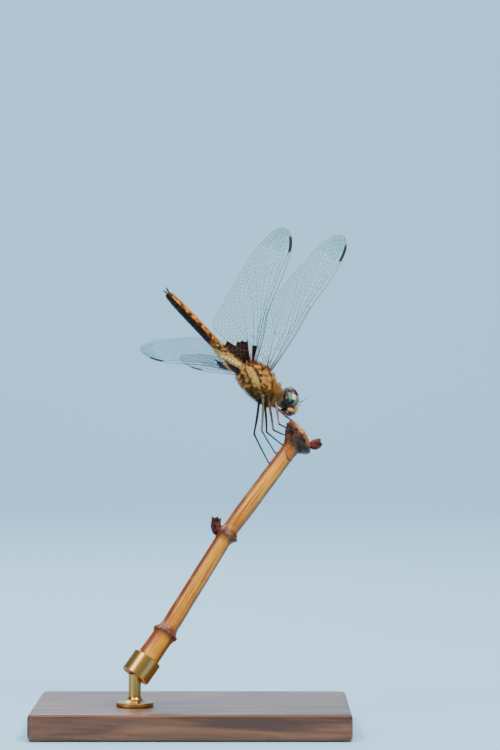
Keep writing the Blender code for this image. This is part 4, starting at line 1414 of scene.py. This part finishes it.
# knee in the body frame; ankle and toe as (below the twig's top, angle, distance from its axis)
LEGS = {
    "fore_left": ((9.45, 0.6, -5.75), (-0.43, 278, 2.75), (-0.3, 316, 1.6)),
    "fore_right": ((8.15, 0.55, -9.4), (2.5, 207, 4.66), (1.97, 174, 4.9)),
    "mid_left": ((7.3, 4.5, -10.0), (5.95, 275, 2.3), (5.0, 322, 2.65)),
    "mid_right": ((7.15, 0.6, -12.2), (3.75, 275, 3.5), (3.1, 312, 3.8)),
    "hind_left": ((4.5, 5.3, -12.0), (11.47, 289, 2.27), (10.3, 326, 2.27)),
    "hind_right": ((5.0, 2.3, -12.8), (8.67, 275, 2.3), (7.6, 312, 2.3)),
}
# colour of thigh and of shin: the legs' own brown and black, made paler by painted light on
# the legs that catch the light and darker by painted shade on the others
LEG_COLOURS_WITH_PAINTED_LIGHT = {
    "fore_left": ((120, 84, 64), (28, 18, 20)), "fore_right": ((150, 112, 82), (20, 28, 38)),
    "mid_left": ((52, 8, 6), (16, 24, 30)), "mid_right": ((78, 50, 28), (30, 40, 40)),
    "hind_left": ((32, 16, 22), (24, 32, 42)), "hind_right": ((98, 88, 58), (66, 66, 72)),
}


def twig_point(below, angle, radius):
    """A place beside the twig: distance below its top, angle round it, distance from its axis."""
    down = (TWIG_NODE_1 - TWIG_TOP).normalized()
    away = Vector((0, 1, 0))
    away = (away - away.dot(down) * down).normalized()
    right = down.cross(away)
    spoke = away * math.cos(math.radians(angle)) + right * math.sin(math.radians(angle))
    return TWIG_TOP + down * below + spoke * radius


# %% [markdown]
# ### Parts of a leg
# A rod gives each limb and a row of small cones gives its spines. Spines could be scattered by
# particles, but real ones stand in two neat rows, so they are set one by one.

# %% Parts of a leg


def spine_row(start, end, out, count, length, radius):
    """Small cones along a rod, leaning to its end."""
    axis = (end - start).normalized()
    bm = bmesh.new()
    for i in range(count):
        spot = start.lerp(end, (i + 0.7) / (count + 0.4))
        lean = (out + axis * 0.9).normalized()
        size = length * (0.8 + 0.4 * math.sin(math.pi * (i + 1) / (count + 1)))
        cone = bmesh.ops.create_cone(bm, cap_ends=True, segments=4, radius1=0.035,
                                     radius2=0.006, depth=size)["verts"]
        place = Matrix.Translation(spot + out * radius + lean * (size / 2 - 0.03)) \
            @ lean.to_track_quat("Z", "X").to_matrix().to_4x4()
        bmesh.ops.transform(bm, matrix=place, verts=cone)
    return bm


def leg_finish(name, colour):
    """Glossy horn in one colour, a little blotched."""
    dark = tuple(c * 0.5 for c in colour)
    material = finish(name, tone(*colour), 0.36, coat_weight=0.08,
                      specular_ior_level=0.25)
    layered(material, mixed(material, speckle(material, 1.1, 0.45, 0.7), tone(*colour),
                            tone(*dark)))
    return material


def rod(path, radii):
    """A rod along a path, its radius read from a short row of (share, radius)."""
    count = len(path) - 1
    return path_tube([[(point, between(radii, i / count)[0]) for i, point in enumerate(path)]],
                     10)


# %% [markdown]
# ### From hip to claw
# Hip, knee and ankle span a plane, and the spines stand out to both sides of it. Six legs could
# be placed by hand; one function for all makes a change to one a change to all.

# %% Make the legs


def make_leg(name):
    """One leg in its place."""
    pair, side = name.split("_")
    sign = 1.0 if side == "left" else -1.0
    hip = Vector((HIPS[pair][0], sign * HIPS[pair][1], HIPS[pair][2]))
    back = body_frame.inverted()
    knee = Vector(LEGS[name][0])
    ankle, toe = back @ twig_point(*LEGS[name][1]), back @ twig_point(*LEGS[name][2])
    root = hip + Vector((-0.25, -sign * 0.1, 0.9))
    thigh_way, shin_way = (knee - hip).normalized(), (ankle - knee).normalized()
    swing = thigh_way.cross(shin_way)
    swing = swing.normalized() if swing.length > 0.05 else Vector((0, 1, 0))
    outer = swing.cross(thigh_way)
    thigh = smooth_path([hip, hip.lerp(knee, 0.5) + outer * 0.12, knee], 0.4)
    shin = smooth_path([knee, knee.lerp(ankle, 0.5) - swing.cross(shin_way) * 0.06, ankle], 0.4)
    stout = 1.5 if pair == "fore" else 1.1
    shapes = [
        path_tube([[(root, 0.55 * stout), (root.lerp(hip, 0.5), 0.6 * stout), (hip, 0.42)]], 12),
        rod(thigh, ((0, 0.33), (0.12, 0.31), (0.55, 0.29), (0.92, 0.22), (1.0, 0.25)))]
    for way in (swing, -swing):
        out = (way - outer * 0.4).normalized()
        shapes.append(spine_row(hip.lerp(knee, 0.25), knee, out, 9, 0.42, 0.24))
    upper = joined(shapes)
    shapes = [rod(shin, ((0, 0.24), (0.05, 0.25), (0.12, 0.2), (0.9, 0.165), (1.0, 0.19)))]
    inner = swing.cross(shin_way)
    for way in (swing, -swing):
        out = (way + inner * 0.3).normalized()
        shapes.append(spine_row(knee.lerp(ankle, 0.06), ankle, out, 11, 0.55, 0.17))
    foot_way = (toe - ankle).normalized()
    foot = [ankle.lerp(toe, t) for t in (0.0, 0.16, 0.2, 0.48, 0.52, 0.98)]
    shapes.append(path_tube([list(zip(foot, (0.16, 0.17, 0.12, 0.16, 0.12, 0.15)))], 8))
    side_way = foot_way.cross(inner).normalized() if foot_way.cross(inner).length > 0.05 \
        else swing
    grip = (back @ (TWIG_TOP + (TWIG_NODE_1 - TWIG_TOP).normalized()
                    * LEGS[name][2][0]) - toe).normalized()
    for way in (side_way, -side_way):
        claw = smooth_path([toe - foot_way * 0.05, toe + foot_way * 0.2 + way * 0.12,
                            toe + foot_way * 0.34 + way * 0.2 + grip * 0.16], 0.07)
        shapes.append(path_tube([[(p, 0.06 - 0.045 * i / len(claw))
                                  for i, p in enumerate(claw)]], 6))
    lower = joined(shapes)
    for mesh_index, bm in enumerate((upper, lower)):
        for face in bm.faces:
            face.material_index = mesh_index
    # each leg's two colours hold painted light or painted shade besides the horn's own colour
    colours = LEG_COLOURS_WITH_PAINTED_LIGHT[name]
    return settle("spiny_leg_" + name, joined([upper, lower]), body_frame,
                  (leg_finish("thigh " + name, colours[0]), leg_finish("shin " + name,
                                                                       colours[1])),
                  [f"leg_{name}_{part}" for part in ("femur", "tibia", "tarsus")])


legs = [make_leg(name) for name in LEGS]
print("leg faces", sum(len(leg.data.polygons) for leg in legs))

# %% [markdown]
# ## Hair
# The thorax, the neck shield and the root of the abdomen are furry: soft buff hairs about a
# millimetre long, lying back along the body and standing out a little at its outline. Each
# hair is a thin bent spike. Blender's own hair would be quicker to comb, but its strands are
# not mesh, and this model has to be solid all over. So all hairs of a region are drawn as one
# bevelled curve and turned into a single mesh. Every hair then takes the masks of the skin at
# its root, and a small patch of the unwrap at the same place.

# %% Hair
UNWRAP_EDGE, UNWRAP_SIZE = 0.004, 0.992    # the margin of the unwrap and what is left inside
TUFT_WIDTH, TUFT_HEIGHT = 0.0015, 0.003    # the patch of the unwrap that one hair takes


def skin_frame(share, angle):
    """A point of the skin, with the way out of it and the way back along the body."""
    step = 0.002
    here = skin_point(share, angle)
    back = (skin_point(min(share + step, 0.999), angle) - here)
    round_it = skin_point(share, angle + 0.03) - here
    if back.length < 1e-6 or round_it.length < 1e-6:
        return None
    out = round_it.cross(back).normalized()
    middle = skin_point(share, angle + math.pi)
    if out.dot(here - middle) < 0:
        out.negate()
    return here, out, back.normalized()


def grow_hair(name, material, spots, chance, radius=0.016):
    """Hairs at (share, angle, length, lift) places of the skin, as one mesh."""
    paths, roots = [], []
    for share, angle, length, lift in spots:
        found = skin_frame(share, angle)
        if not found:
            continue
        here, out, back = found
        stray = Vector([chance.uniform(-0.25, 0.25) for _ in range(3)])
        way_1 = (out * (lift + 0.35) + back * 0.5 + stray).normalized()
        way_2 = (out * lift * 0.6 + back + stray).normalized()
        bend_at = here + way_1 * length * 0.5
        paths.append([(here - out * 0.03, radius), (bend_at, radius * 0.75),
                      (bend_at + way_2 * length * 0.5, radius * 0.15)])
        roots.append((share, angle))
    bm = path_tube(paths, 4, False)
    per_hair = len(bm.verts) // len(paths)
    layers = {mask: bm.verts.layers.float.new(mask) for mask in MASKS}
    unwrap = bm.loops.layers.uv.new("OFBake")
    bm.verts.ensure_lookup_table()
    for number, (share, angle) in enumerate(roots):
        marks = marks_at(share, angle)
        for vert in bm.verts[number * per_hair:(number + 1) * per_hair]:
            for mask in MASKS:
                vert[layers[mask]] = marks[mask]
    for face in bm.faces:
        for loop in face.loops:
            number = min(loop.vert.index // per_hair, len(roots) - 1)
            share, angle = roots[number]
            place = loop.vert.index % per_hair
            across = TUFT_WIDTH * (place / per_hair - 0.5)
            up = TUFT_HEIGHT * ((place % 4) / 4 - 0.4)
            loop[unwrap].uv = (UNWRAP_EDGE + UNWRAP_SIZE * share + across,
                               UNWRAP_EDGE + UNWRAP_SIZE * (angle % math.tau) / math.tau + up)
    print(name, "hairs", len(paths), "faces", len(bm.faces))
    return settle(name, bm, body_frame, (material,), ())


def share_of(reach):
    """The share along the skin of a place in millimetres behind the body's origin."""
    return (reach - TRUNK[0][0]) / BODY_LENGTH


def scattered(chance, count, low, high, length, lift, on_back=1.0):
    """Random places on the skin between two reaches; on_back is the share kept on the back."""
    spots = []
    while len(spots) < count:
        reach, angle = chance.uniform(low, high), chance.uniform(0, math.tau)
        if chance.random() < on_back + (1 - on_back) * soft(-math.sin(angle), -0.3, 0.7):
            spots.append((share_of(reach), angle, length * chance.uniform(0.6, 1.25), lift))
    return spots


# %% [markdown]
# ### Growing the hair
# Random places make a natural coat; rows would look combed. Thorax and neck shield are the most
# furry, the abdomen has short down, and pale tufts stand in a row on each side of its root.

# %% Grow the hair
hair_finish = body_finish("body hair", 0.6, 0.22)
chance = random.Random(5)
spots = scattered(chance, 5200, -5.0, 5.4, 0.95, 0.45, 0.35)
spots += scattered(chance, 1500, -5.0, -2.2, 1.1, 0.6)
grow_hair("thorax_hair", hair_finish, spots, chance)
spots = scattered(chance, 6400, -6.3, -4.0, 1.8, 0.75)
grow_hair("neck_shield_hair", body_finish("neck hair", 0.7, 0.6), spots, chance, 0.02)
root_end = TRUNK_END + JOIN_LENGTH
spots = scattered(chance, 2200, root_end, root_end + 7.0, 0.7, 0.4)
spots += scattered(chance, 2600, root_end + 7.0, root_end + 24.5, 0.32, 0.35)
for number in range(7):
    from_top = dot_row(ring_ends[0] + (number + 0.5) * DOT_PITCH) + chance.gauss(0, 2.5)
    for side_angle in (90 - from_top, 90 + from_top):
        for _ in range(16):
            reach = root_end + (number + 0.5) * DOT_PITCH + chance.gauss(0, 0.12)
            angle = math.radians(side_angle + chance.gauss(0, 3.5)) % math.tau
            spots.append((share_of(reach), angle, 0.6, 0.9))
grow_hair("abdomen_hair", hair_finish, spots, chance, 0.011)

# %% [markdown]
# ## The display stand
# A flat base of oiled wood and a short brass rod hold the twig. The base's solid is good as it
# is, so it only gets a grain stretched along it. The rod and the socket are turned afresh with
# round sides and small chamfers, to the sizes of their solids. Cylinders with a bevel would
# do for both; a turned outline has the flange, its flare and the bore in one piece.

# %% Stand
ROD_FOOT = 6.65        # the underside of the rod's flange
ROD_RADIUS = 1.5
SOCKET_BORE = 2.9
SOCKET_RADIUS = 3.6
SOCKET_FLOOR = 1.2     # the thickness of the socket's closed end

wood = finish("oiled walnut", tone(92, 56, 34), 0.42, coat_weight=0.15)
grain = node(wood, "ShaderNodeMapping", {
    "Vector": node(wood, "ShaderNodeTexCoord").outputs["Object"], "Scale": (40.0, 420.0, 420.0)}
).outputs["Vector"]
rings = node(wood, "ShaderNodeTexNoise", {"Vector": grain, "Scale": 1.0, "Detail": 5.0,
                                         "Distortion": 0.6}).outputs["Fac"]
layered(wood, mixed(wood, ranged(wood, rings, 0.35, 0.65), tone(70, 40, 24), tone(122, 78, 48)))
brass = finish("brushed brass", tone(190, 150, 84), 0.32, metallic=1.0)
for material_slot in bpy.data.objects["stand_base"].material_slots:
    material_slot.material = wood


def turned(name, profile, place, replaced):
    """A brass piece turned from pairs of height and radius, which start and end on its axis."""
    bm = bmesh.new()
    verts = [bm.verts.new((radius, 0, height)) for height, radius in profile]
    edges = [bm.edges.new(pair) for pair in zip(verts, verts[1:])]
    bmesh.ops.spin(bm, geom=verts + edges, cent=(0, 0, 0), axis=(0, 0, 1), dvec=(0, 0, 0),
                   angle=math.tau, steps=96, use_merge=True, use_duplicate=False)
    made = settle(name, closed(bm), place, (brass,), (replaced,))
    made.data.set_sharp_from_angle(angle=math.radians(35))


socket_way = (TWIG_END - TWIG_NODE_2).normalized()
socket_place = TWIG_END + socket_way * 0.15
rod_place = socket_place + socket_way * SOCKET_FLOOR
turned("stand_socket_turned", (
    (0.0, 0.0), (0.0, SOCKET_BORE), (-4.1, SOCKET_BORE), (-4.2, 3.0), (-4.2, 3.45),
    (-4.05, SOCKET_RADIUS), (1.0, SOCKET_RADIUS), (SOCKET_FLOOR, 3.4), (SOCKET_FLOOR, 0.0)),
    Matrix.Translation(socket_place) @ socket_way.to_track_quat("Z", "Y").to_matrix().to_4x4(),
    "stand_socket")
flare = [(ROD_FOOT + 0.9 + 1.5 * (1 - math.cos(turn)), ROD_RADIUS + 2.3 * (1 - math.sin(turn)))
         for turn in (k * math.pi / 16 for k in range(9))]
rod_top = rod_place.z + 0.6
turned("stand_rod_turned", (
    (ROD_FOOT, 0.0), (ROD_FOOT, 4.4), (ROD_FOOT + 0.1, 4.5), (ROD_FOOT + 0.75, 4.5),
    (ROD_FOOT + 0.9, 4.35), *flare, (rod_top, ROD_RADIUS), (rod_top, 0.0)),
    Matrix.Translation((rod_place.x, rod_place.y, 0)), "stand_rod")

# %% [markdown]
# ## The twig
# The perch is a dry cane: smooth, shiny bark with fine lengthwise streaks, two swollen nodes
# with ragged rims, and a broken, corky crown where it was cut long ago. It is one rolled tube
# along a bent line. A table gives its thickness; the crown and the nodes get lumps and rims,
# the bark gets shallow grooves along its length. Masks mark cork, rims and the crack. Bark is
# often a tiling image; these lumps show from the side, so the surface itself is moved, with
# noise that is the same each time.

# %% Shape of the twig
CROWN_SLANT = 0.33
# distance from the top, radius, how much the slant of the cut counts, roughness of the cork
CROWN_PROFILE = ((0.75, 0.0, 1, 0.6), (0.78, 0.9, 1, 0.8), (0.6, 1.4, 1, 1), (0.72, 2.5, 1, 1),
                 (1.0, 3.25, 1, 1), (1.5, 4.05, 1, 1), (2.3, 4.3, 1, 1), (2.8, 4.0, 0.95, 1),
                 (3.3, 3.6, 0.85, 1), (4.3, 2.9, 0.6, 0.95), (5.4, 2.2, 0.2, 0.5),
                 (6.4, 2.0, 0, 0.05))
UPPER_NODE = ((-2.0, 2.0), (-1.3, 2.12), (-0.75, 2.45), (-0.35, 2.7), (0.0, 3.0), (0.35, 2.95),
              (0.8, 2.6), (1.3, 2.25), (2.2, 2.0))
LOWER_NODE = ((-2.0, 2.15), (-1.2, 2.3), (-0.6, 2.6), (0.0, 3.15), (0.5, 3.1), (1.0, 2.85),
              (1.8, 2.72))
upper_length = (TWIG_NODE_1 - TWIG_TOP).length
middle_length = (TWIG_NODE_2 - TWIG_NODE_1).length
lower_length = (TWIG_END - TWIG_NODE_2).length
TWIG_LENGTH = upper_length + middle_length + lower_length
# distance along the twig, radius, slant, cork
twig_table = list(CROWN_PROFILE)
twig_table += [(10.0, 2.0, 0, 0), (upper_length - 6, 2.1, 0, 0)]
twig_table += [(upper_length + d, r, 0, 0.8 * math.exp(-(d / 1.5) ** 2))
               for d, r in UPPER_NODE]
twig_table += [(upper_length + 6, 2.06, 0, 0), (upper_length + middle_length - 5, 2.12, 0, 0)]
twig_table += [(upper_length + middle_length + d, r, 0, math.exp(-(d / 1.0) ** 2))
               for d, r in LOWER_NODE]
twig_table += [(TWIG_LENGTH - 0.3, 2.7, 0, 0), (TWIG_LENGTH - 0.02, 2.66, 0, 0),
               (TWIG_LENGTH, 2.2, 0, 0), (TWIG_LENGTH, 0.0, 0, 0)]

# %% [markdown]
# ### The surface of the twig
# One function finds each point of the bark from its row in the table and its angle. Modifiers
# could add the lumps afterwards, but here the masks come from the same noise as the lumps, so
# cork is dark where it is rough.

# %% Surface of the twig


def twig_axis(run):
    """The middle of the twig and its direction, a run in millimetres from the top."""
    upper = (TWIG_NODE_1 - TWIG_TOP).normalized()
    middle = (TWIG_NODE_2 - TWIG_NODE_1).normalized()
    lower = (TWIG_END - TWIG_NODE_2).normalized()
    at_2 = upper_length + middle_length
    if run < upper_length:
        place, way = TWIG_TOP + upper * run, upper
    elif run < at_2:
        place, way = TWIG_NODE_1 + middle * (run - upper_length), middle
    else:
        place, way = TWIG_NODE_2 + lower * (run - at_2), lower
    way = way.lerp(upper.lerp(middle, 0.5), 1 - soft(abs(run - upper_length), 0.0, 2.0))
    way = way.lerp(middle.lerp(lower, 0.5), 1 - soft(abs(run - at_2), 0.0, 2.0))
    return place, way.normalized()


def twig_skin(row, angle):
    """A point of the bark and its masks, painted shade along its edges among them; row is a place
    in the table.
    """
    index = min(int(row), len(twig_table) - 2)
    t = row - index
    low, high = twig_table[index], twig_table[index + 1]
    run, radius, slant, cork = (a + (b - a) * t for a, b in zip(low, high))
    place, way = twig_axis(max(run, 0.0))
    turn = way.to_track_quat("X", "Z").to_matrix()
    spoke = Vector((0.0, math.cos(angle), math.sin(angle)))
    spot = place + turn @ (spoke * radius)
    lump = noise.noise(spot * 0.55) * 0.5 + noise.noise(spot * 1.3) * 0.35 \
        + noise.noise(spot * 3.1) * 0.2
    ragged = cork * (0.62 * lump - 0.25 * abs(noise.noise(spot * 2.2)))
    node_room = min(abs(run - upper_length), abs(run - upper_length - middle_length))
    rim = math.exp(-((node_room - 0.3) / 0.8) ** 2)
    groove = 0.03 * noise.noise(Vector((run * 0.05, math.cos(angle) * 3, math.sin(angle) * 3)))
    bow = 0.05 * noise.noise(Vector((run * 0.12, 7.0, 3.0)))
    size = radius * (1 + bow * (1 - cork)) + (ragged + groove) * min(radius, 1.0)
    if 0.6 < run < 5.0:
        size += 0.4 * max(noise.noise(Vector((math.cos(angle) * 1.6, math.sin(angle) * 1.6,
                                               run * 0.5))), -0.3) * cork
    run_here = run - CROWN_SLANT * slant * radius * math.sin(angle)
    sag = 0.35 * cork * slant * noise.noise(spot * 0.9)
    crack_room = abs((run - 8.2) - 1.5 * (math.cos(angle + 2.0) ** 3) - 0.3 * lump)
    crack = (1 - soft(crack_room, 0.1, 0.28)) * (run > 6) * soft(math.cos(angle + 0.6), 0, 0.3)
    size -= 0.09 * crack
    spot = place + way * (run_here + sag - run) + turn @ (spoke * size)
    inner = (1 - soft(run + 0.6 * lump, 1.5, 2.5)) * slant
    aged = 1 - soft(min(run - 6.0, node_room), 0.5, 9.0)
    wide, fine = (noise.noise(Vector((math.cos(angle) * k, math.sin(angle) * k, run * p)))
                  for k, p in ((3.2, 0.05), (8.0, 0.11)))
    # painted shade: the flank mask darkens the bark along both edges of the twig as the camera
    # sees it, about a right angle either side of the side facing the camera
    side = abs(math.degrees((angle + math.pi) % math.tau - math.pi) - 12)
    return spot, {"cork": min(1.0, cork * 1.3) * (1 - inner), "rim": rim, "inner": inner,
                  "crack": crack, "aged": aged, "streak": 0.5 + 0.45 * wide + 0.4 * fine,
                  "flank": bump(side, 84, 22, 44)}


TWIG_MASKS = ("cork", "rim", "inner", "crack", "aged", "streak", "flank")
AROUND_TWIG = 72       # points round the bark
CORK_STEP, BARK_STEP = 0.16, 0.45    # the distance of its rings, finer where there is cork


def make_twig():
    """Roll the bark round its line."""
    steps = []
    for index, (low, high) in enumerate(zip(twig_table, twig_table[1:])):
        span = max(abs(high[0] - low[0]), abs(high[1] - low[1]))
        corky = low[3] > 0.04 or high[3] > 0.04
        parts = max(1, round(span / (CORK_STEP if corky else BARK_STEP)))
        steps += [index + k / parts for k in range(parts)]
    steps.append(len(twig_table) - 1.0001)
    last = len(steps) - 1
    print("twig rings", len(steps))
    return roll(last, AROUND_TWIG, TWIG_MASKS,
                lambda share, angle: twig_skin(steps[round(share * last)], angle))


# %% [markdown]
# ## Bark, cork and buds
# The bark is golden brown, streaked along its length and shiny, with painted shade darkening
# it along both edges as the camera sees them; the cork is rough and goes from dark brown in
# the hollows to cream on the upper rim. The buds are dark red, made of a few overlapping
# scales. A bud could be one lump with grooves, but separate scales cast small shadows on each
# other, and one function makes both buds.

# %% Bark and buds
bark = finish("bark", tone(196, 120, 28), 0.4, coat_weight=0.12, coat_roughness=0.3,
              specular_ior_level=0.3)
streak = mark(bark, "streak")
streak_mask = ranged(bark, streak, 0.45, 0.8)
bark_ground = mixed(bark, streak_mask, tone(214, 144, 30), tone(176, 98, 12))
blotch = speckle(bark, 0.16, 0.44, 0.7)
cork_ground = mixed(bark, speckle(bark, 0.9, 0.4, 0.62, 5.0), tone(24, 9, 3), tone(92, 43, 10))
layered(bark, bark_ground, [
    (patchy(bark, "aged", 0.3, 0.3, 0.7), tone(150, 66, 8)),
    # painted shade along both edges of the twig as the camera sees them
    (patchy(bark, "flank", 0.4, -0.1, 0.5), tone(104, 42, 4)),
    (both(bark, blotch, streak_mask), tone(136, 72, 22)),
    ("cork", cork_ground),
    (patchy(bark, "rim", 1.6, 0.4, 0.62), tone(126, 68, 36)),
    (patchy(bark, "inner", 2.2, 0.44, 0.6), tone(158, 94, 54)),
    ("crack", tone(58, 26, 14))])
relief(bark, both(bark, streak, speckle(bark, 2.5, 0.2, 0.8), "ADD"), 0.09, 0.7)
twig = settle("twig_bark", make_twig(), Matrix.Identity(4), (bark,),
              ("twig_crown", "twig_upper", "twig_node_upper", "twig_middle", "twig_node_lower",
               "twig_lower"))
print("twig faces", len(twig.data.polygons))

bud_finish = finish("bud scales", tone(88, 30, 30), 0.5, specular_ior_level=0.2)
layered(bud_finish, mixed(bud_finish, speckle(bud_finish, 0.9, 0.4, 0.62), tone(30, 6, 6),
                          tone(104, 38, 24)))
relief(bud_finish, speckle(bud_finish, 3.0, 0.2, 0.8), 0.05, 0.6)


def bud_scales(centre, axis, length, width, count, twist):
    """A bud of pointed scales that wrap each other, opening to the tip."""
    axis = Vector(axis).normalized()
    turn = axis.to_track_quat("Z", "X").to_matrix().to_4x4()
    shapes = []
    for i in range(count):
        bm = bmesh.new()
        bmesh.ops.create_uvsphere(bm, u_segments=18, v_segments=14, radius=1.0)
        tier = i / max(count - 1, 1)
        size = Vector((width * (0.62 - 0.2 * tier), width * (0.42 - 0.12 * tier),
                       length * (0.42 - 0.06 * tier)))
        for vert in bm.verts:
            taper = 1 - 0.75 * max(vert.co.z, 0.0) ** 1.5
            vert.co = Vector((vert.co.x * size.x * taper, vert.co.y * size.y * taper,
                              vert.co.z * size.z))
            vert.co.y += 0.22 * width * (vert.co.z / size.z) ** 2
        spin = Matrix.Rotation(i * twist, 4, "Z")
        lean = Matrix.Rotation(math.radians(-10 - 14 * tier), 4, "X")
        shift = Matrix.Translation((0, 0.3 * width * (1 - tier), length * (0.36 + 0.26 * tier)))
        bmesh.ops.transform(bm, matrix=Matrix.Translation(Vector(centre)) @ turn @ spin
                            @ shift @ lean, verts=bm.verts[:])
        shapes.append(bm)
    return joined(shapes)


settle("bud_scales", bud_scales(TWIG_TOP + Vector((1.7, -0.8, -3.5)), (0.97, 0, 0.25), 3.3, 2.1, 7,
                                2.2),
       Matrix.Identity(4), (bud_finish,), ("twig_bud",))
settle("spur_scales", bud_scales(TWIG_NODE_1 + Vector((-2.5, -0.1, 0.0)), (-0.05, 0, 1), 4.9,
                                 2.0, 7, 2.4),
       Matrix.Identity(4), (bud_finish,), ("twig_spur",))

# %% [markdown]
# ## Floor, backdrop, light and camera
# The model stands in a plain studio: a wide pale floor that goes up smoothly into a backdrop.
# Five square lamps light it: a key lamp from the upper right, a wide weak one from the left,
# a strip high on the left, one from behind, and one that only brightens the backdrop. A sky
# image could light it too, but lamps can be understood one by one. The camera is level with
# the body and far away, so the model is seen with little perspective.

# %% Studio
# the floor in metres: how far it starts before the model, its whole run and half its width
FLOOR_FRONT, FLOOR_RUN, FLOOR_HALF = 1.4, 4.6, 5.0
# where it begins to bend up, how long the bend takes and the radius of the bend
BEND_START, BEND_RUN, BEND_RADIUS = 1.2, 1.1, 0.7
CAMERA_PLACE = (0.014, -0.688, 0.0855)
CAMERA_LENS = 136.76


def lamp(name, place, aim, size, power, colour=(1.0, 1.0, 1.0)):
    """A soft square lamp that faces a point."""
    data = bpy.data.lights.new(name, "AREA")
    data.energy, data.size, data.color = power, size, colour
    holder = bpy.data.objects.new(name, data)
    bpy.context.collection.objects.link(holder)
    holder.location = place
    holder.rotation_euler = (Vector(aim) - Vector(place)).to_track_quat("-Z", "Y").to_euler()
    return holder


def make_floor():
    """A floor that curves up into a backdrop behind the model."""
    bm = bmesh.new()
    bmesh.ops.create_grid(bm, x_segments=1, y_segments=40, size=1.0)
    for vert in bm.verts:
        run = (vert.co.y + 1) / 2 * FLOOR_RUN - FLOOR_FRONT
        arc = min(max((run - BEND_START) / BEND_RUN, 0.0), 1.0) * math.pi / 2
        y = min(run, BEND_START) + BEND_RADIUS * math.sin(arc)
        z = BEND_RADIUS * (1 - math.cos(arc)) + max(run - BEND_START - BEND_RUN, 0.0)
        vert.co = Vector((vert.co.x * FLOOR_HALF, y, z))
    mesh = bpy.data.meshes.new("floor")
    bm.to_mesh(mesh)
    bm.free()
    mesh.shade_smooth()
    mesh.materials.append(finish("backdrop paper", tone(146, 190, 216), 0.9))
    floor = bpy.data.objects.new("floor", mesh)
    bpy.context.collection.objects.link(floor)


make_floor()
lamps = [
    lamp("key", (0.3, -0.4, 0.66), (0.01, 0.0, 0.07), 0.24, 8.5),
    lamp("fill", (-0.6, -0.5, 0.2), (0.01, 0.0, 0.07), 0.5, 1.6),
    lamp("strip", (-0.34, -0.42, 0.72), (0.01, 0.0, 0.06), 0.22, 5.5),
    lamp("back", (-0.2, 0.5, 0.6), (0.01, 0.0, 0.08), 0.4, 3.0),
    lamp("backdrop light", (0.0, 0.5, 1.6), (0.0, 1.9, 0.5), 1.0, 52, (0.92, 0.97, 1.0))]
world = bpy.data.worlds.new("room")
bpy.context.scene.world = world
world.use_nodes = True
world.node_tree.nodes["Background"].inputs[0].default_value = (0.80, 0.90, 0.97, 1)
world.node_tree.nodes["Background"].inputs[1].default_value = 0.16

lens = bpy.data.cameras.new("camera")
lens.sensor_width = 36
lens.lens = CAMERA_LENS
lens.clip_start = 0.05
camera = bpy.data.objects.new("camera", lens)
bpy.context.collection.objects.link(camera)
camera.location = CAMERA_PLACE
camera.rotation_euler = (math.radians(90), 0, 0)
bpy.context.scene.camera = camera
print("lamps", len(lamps), "camera at", CAMERA_PLACE)
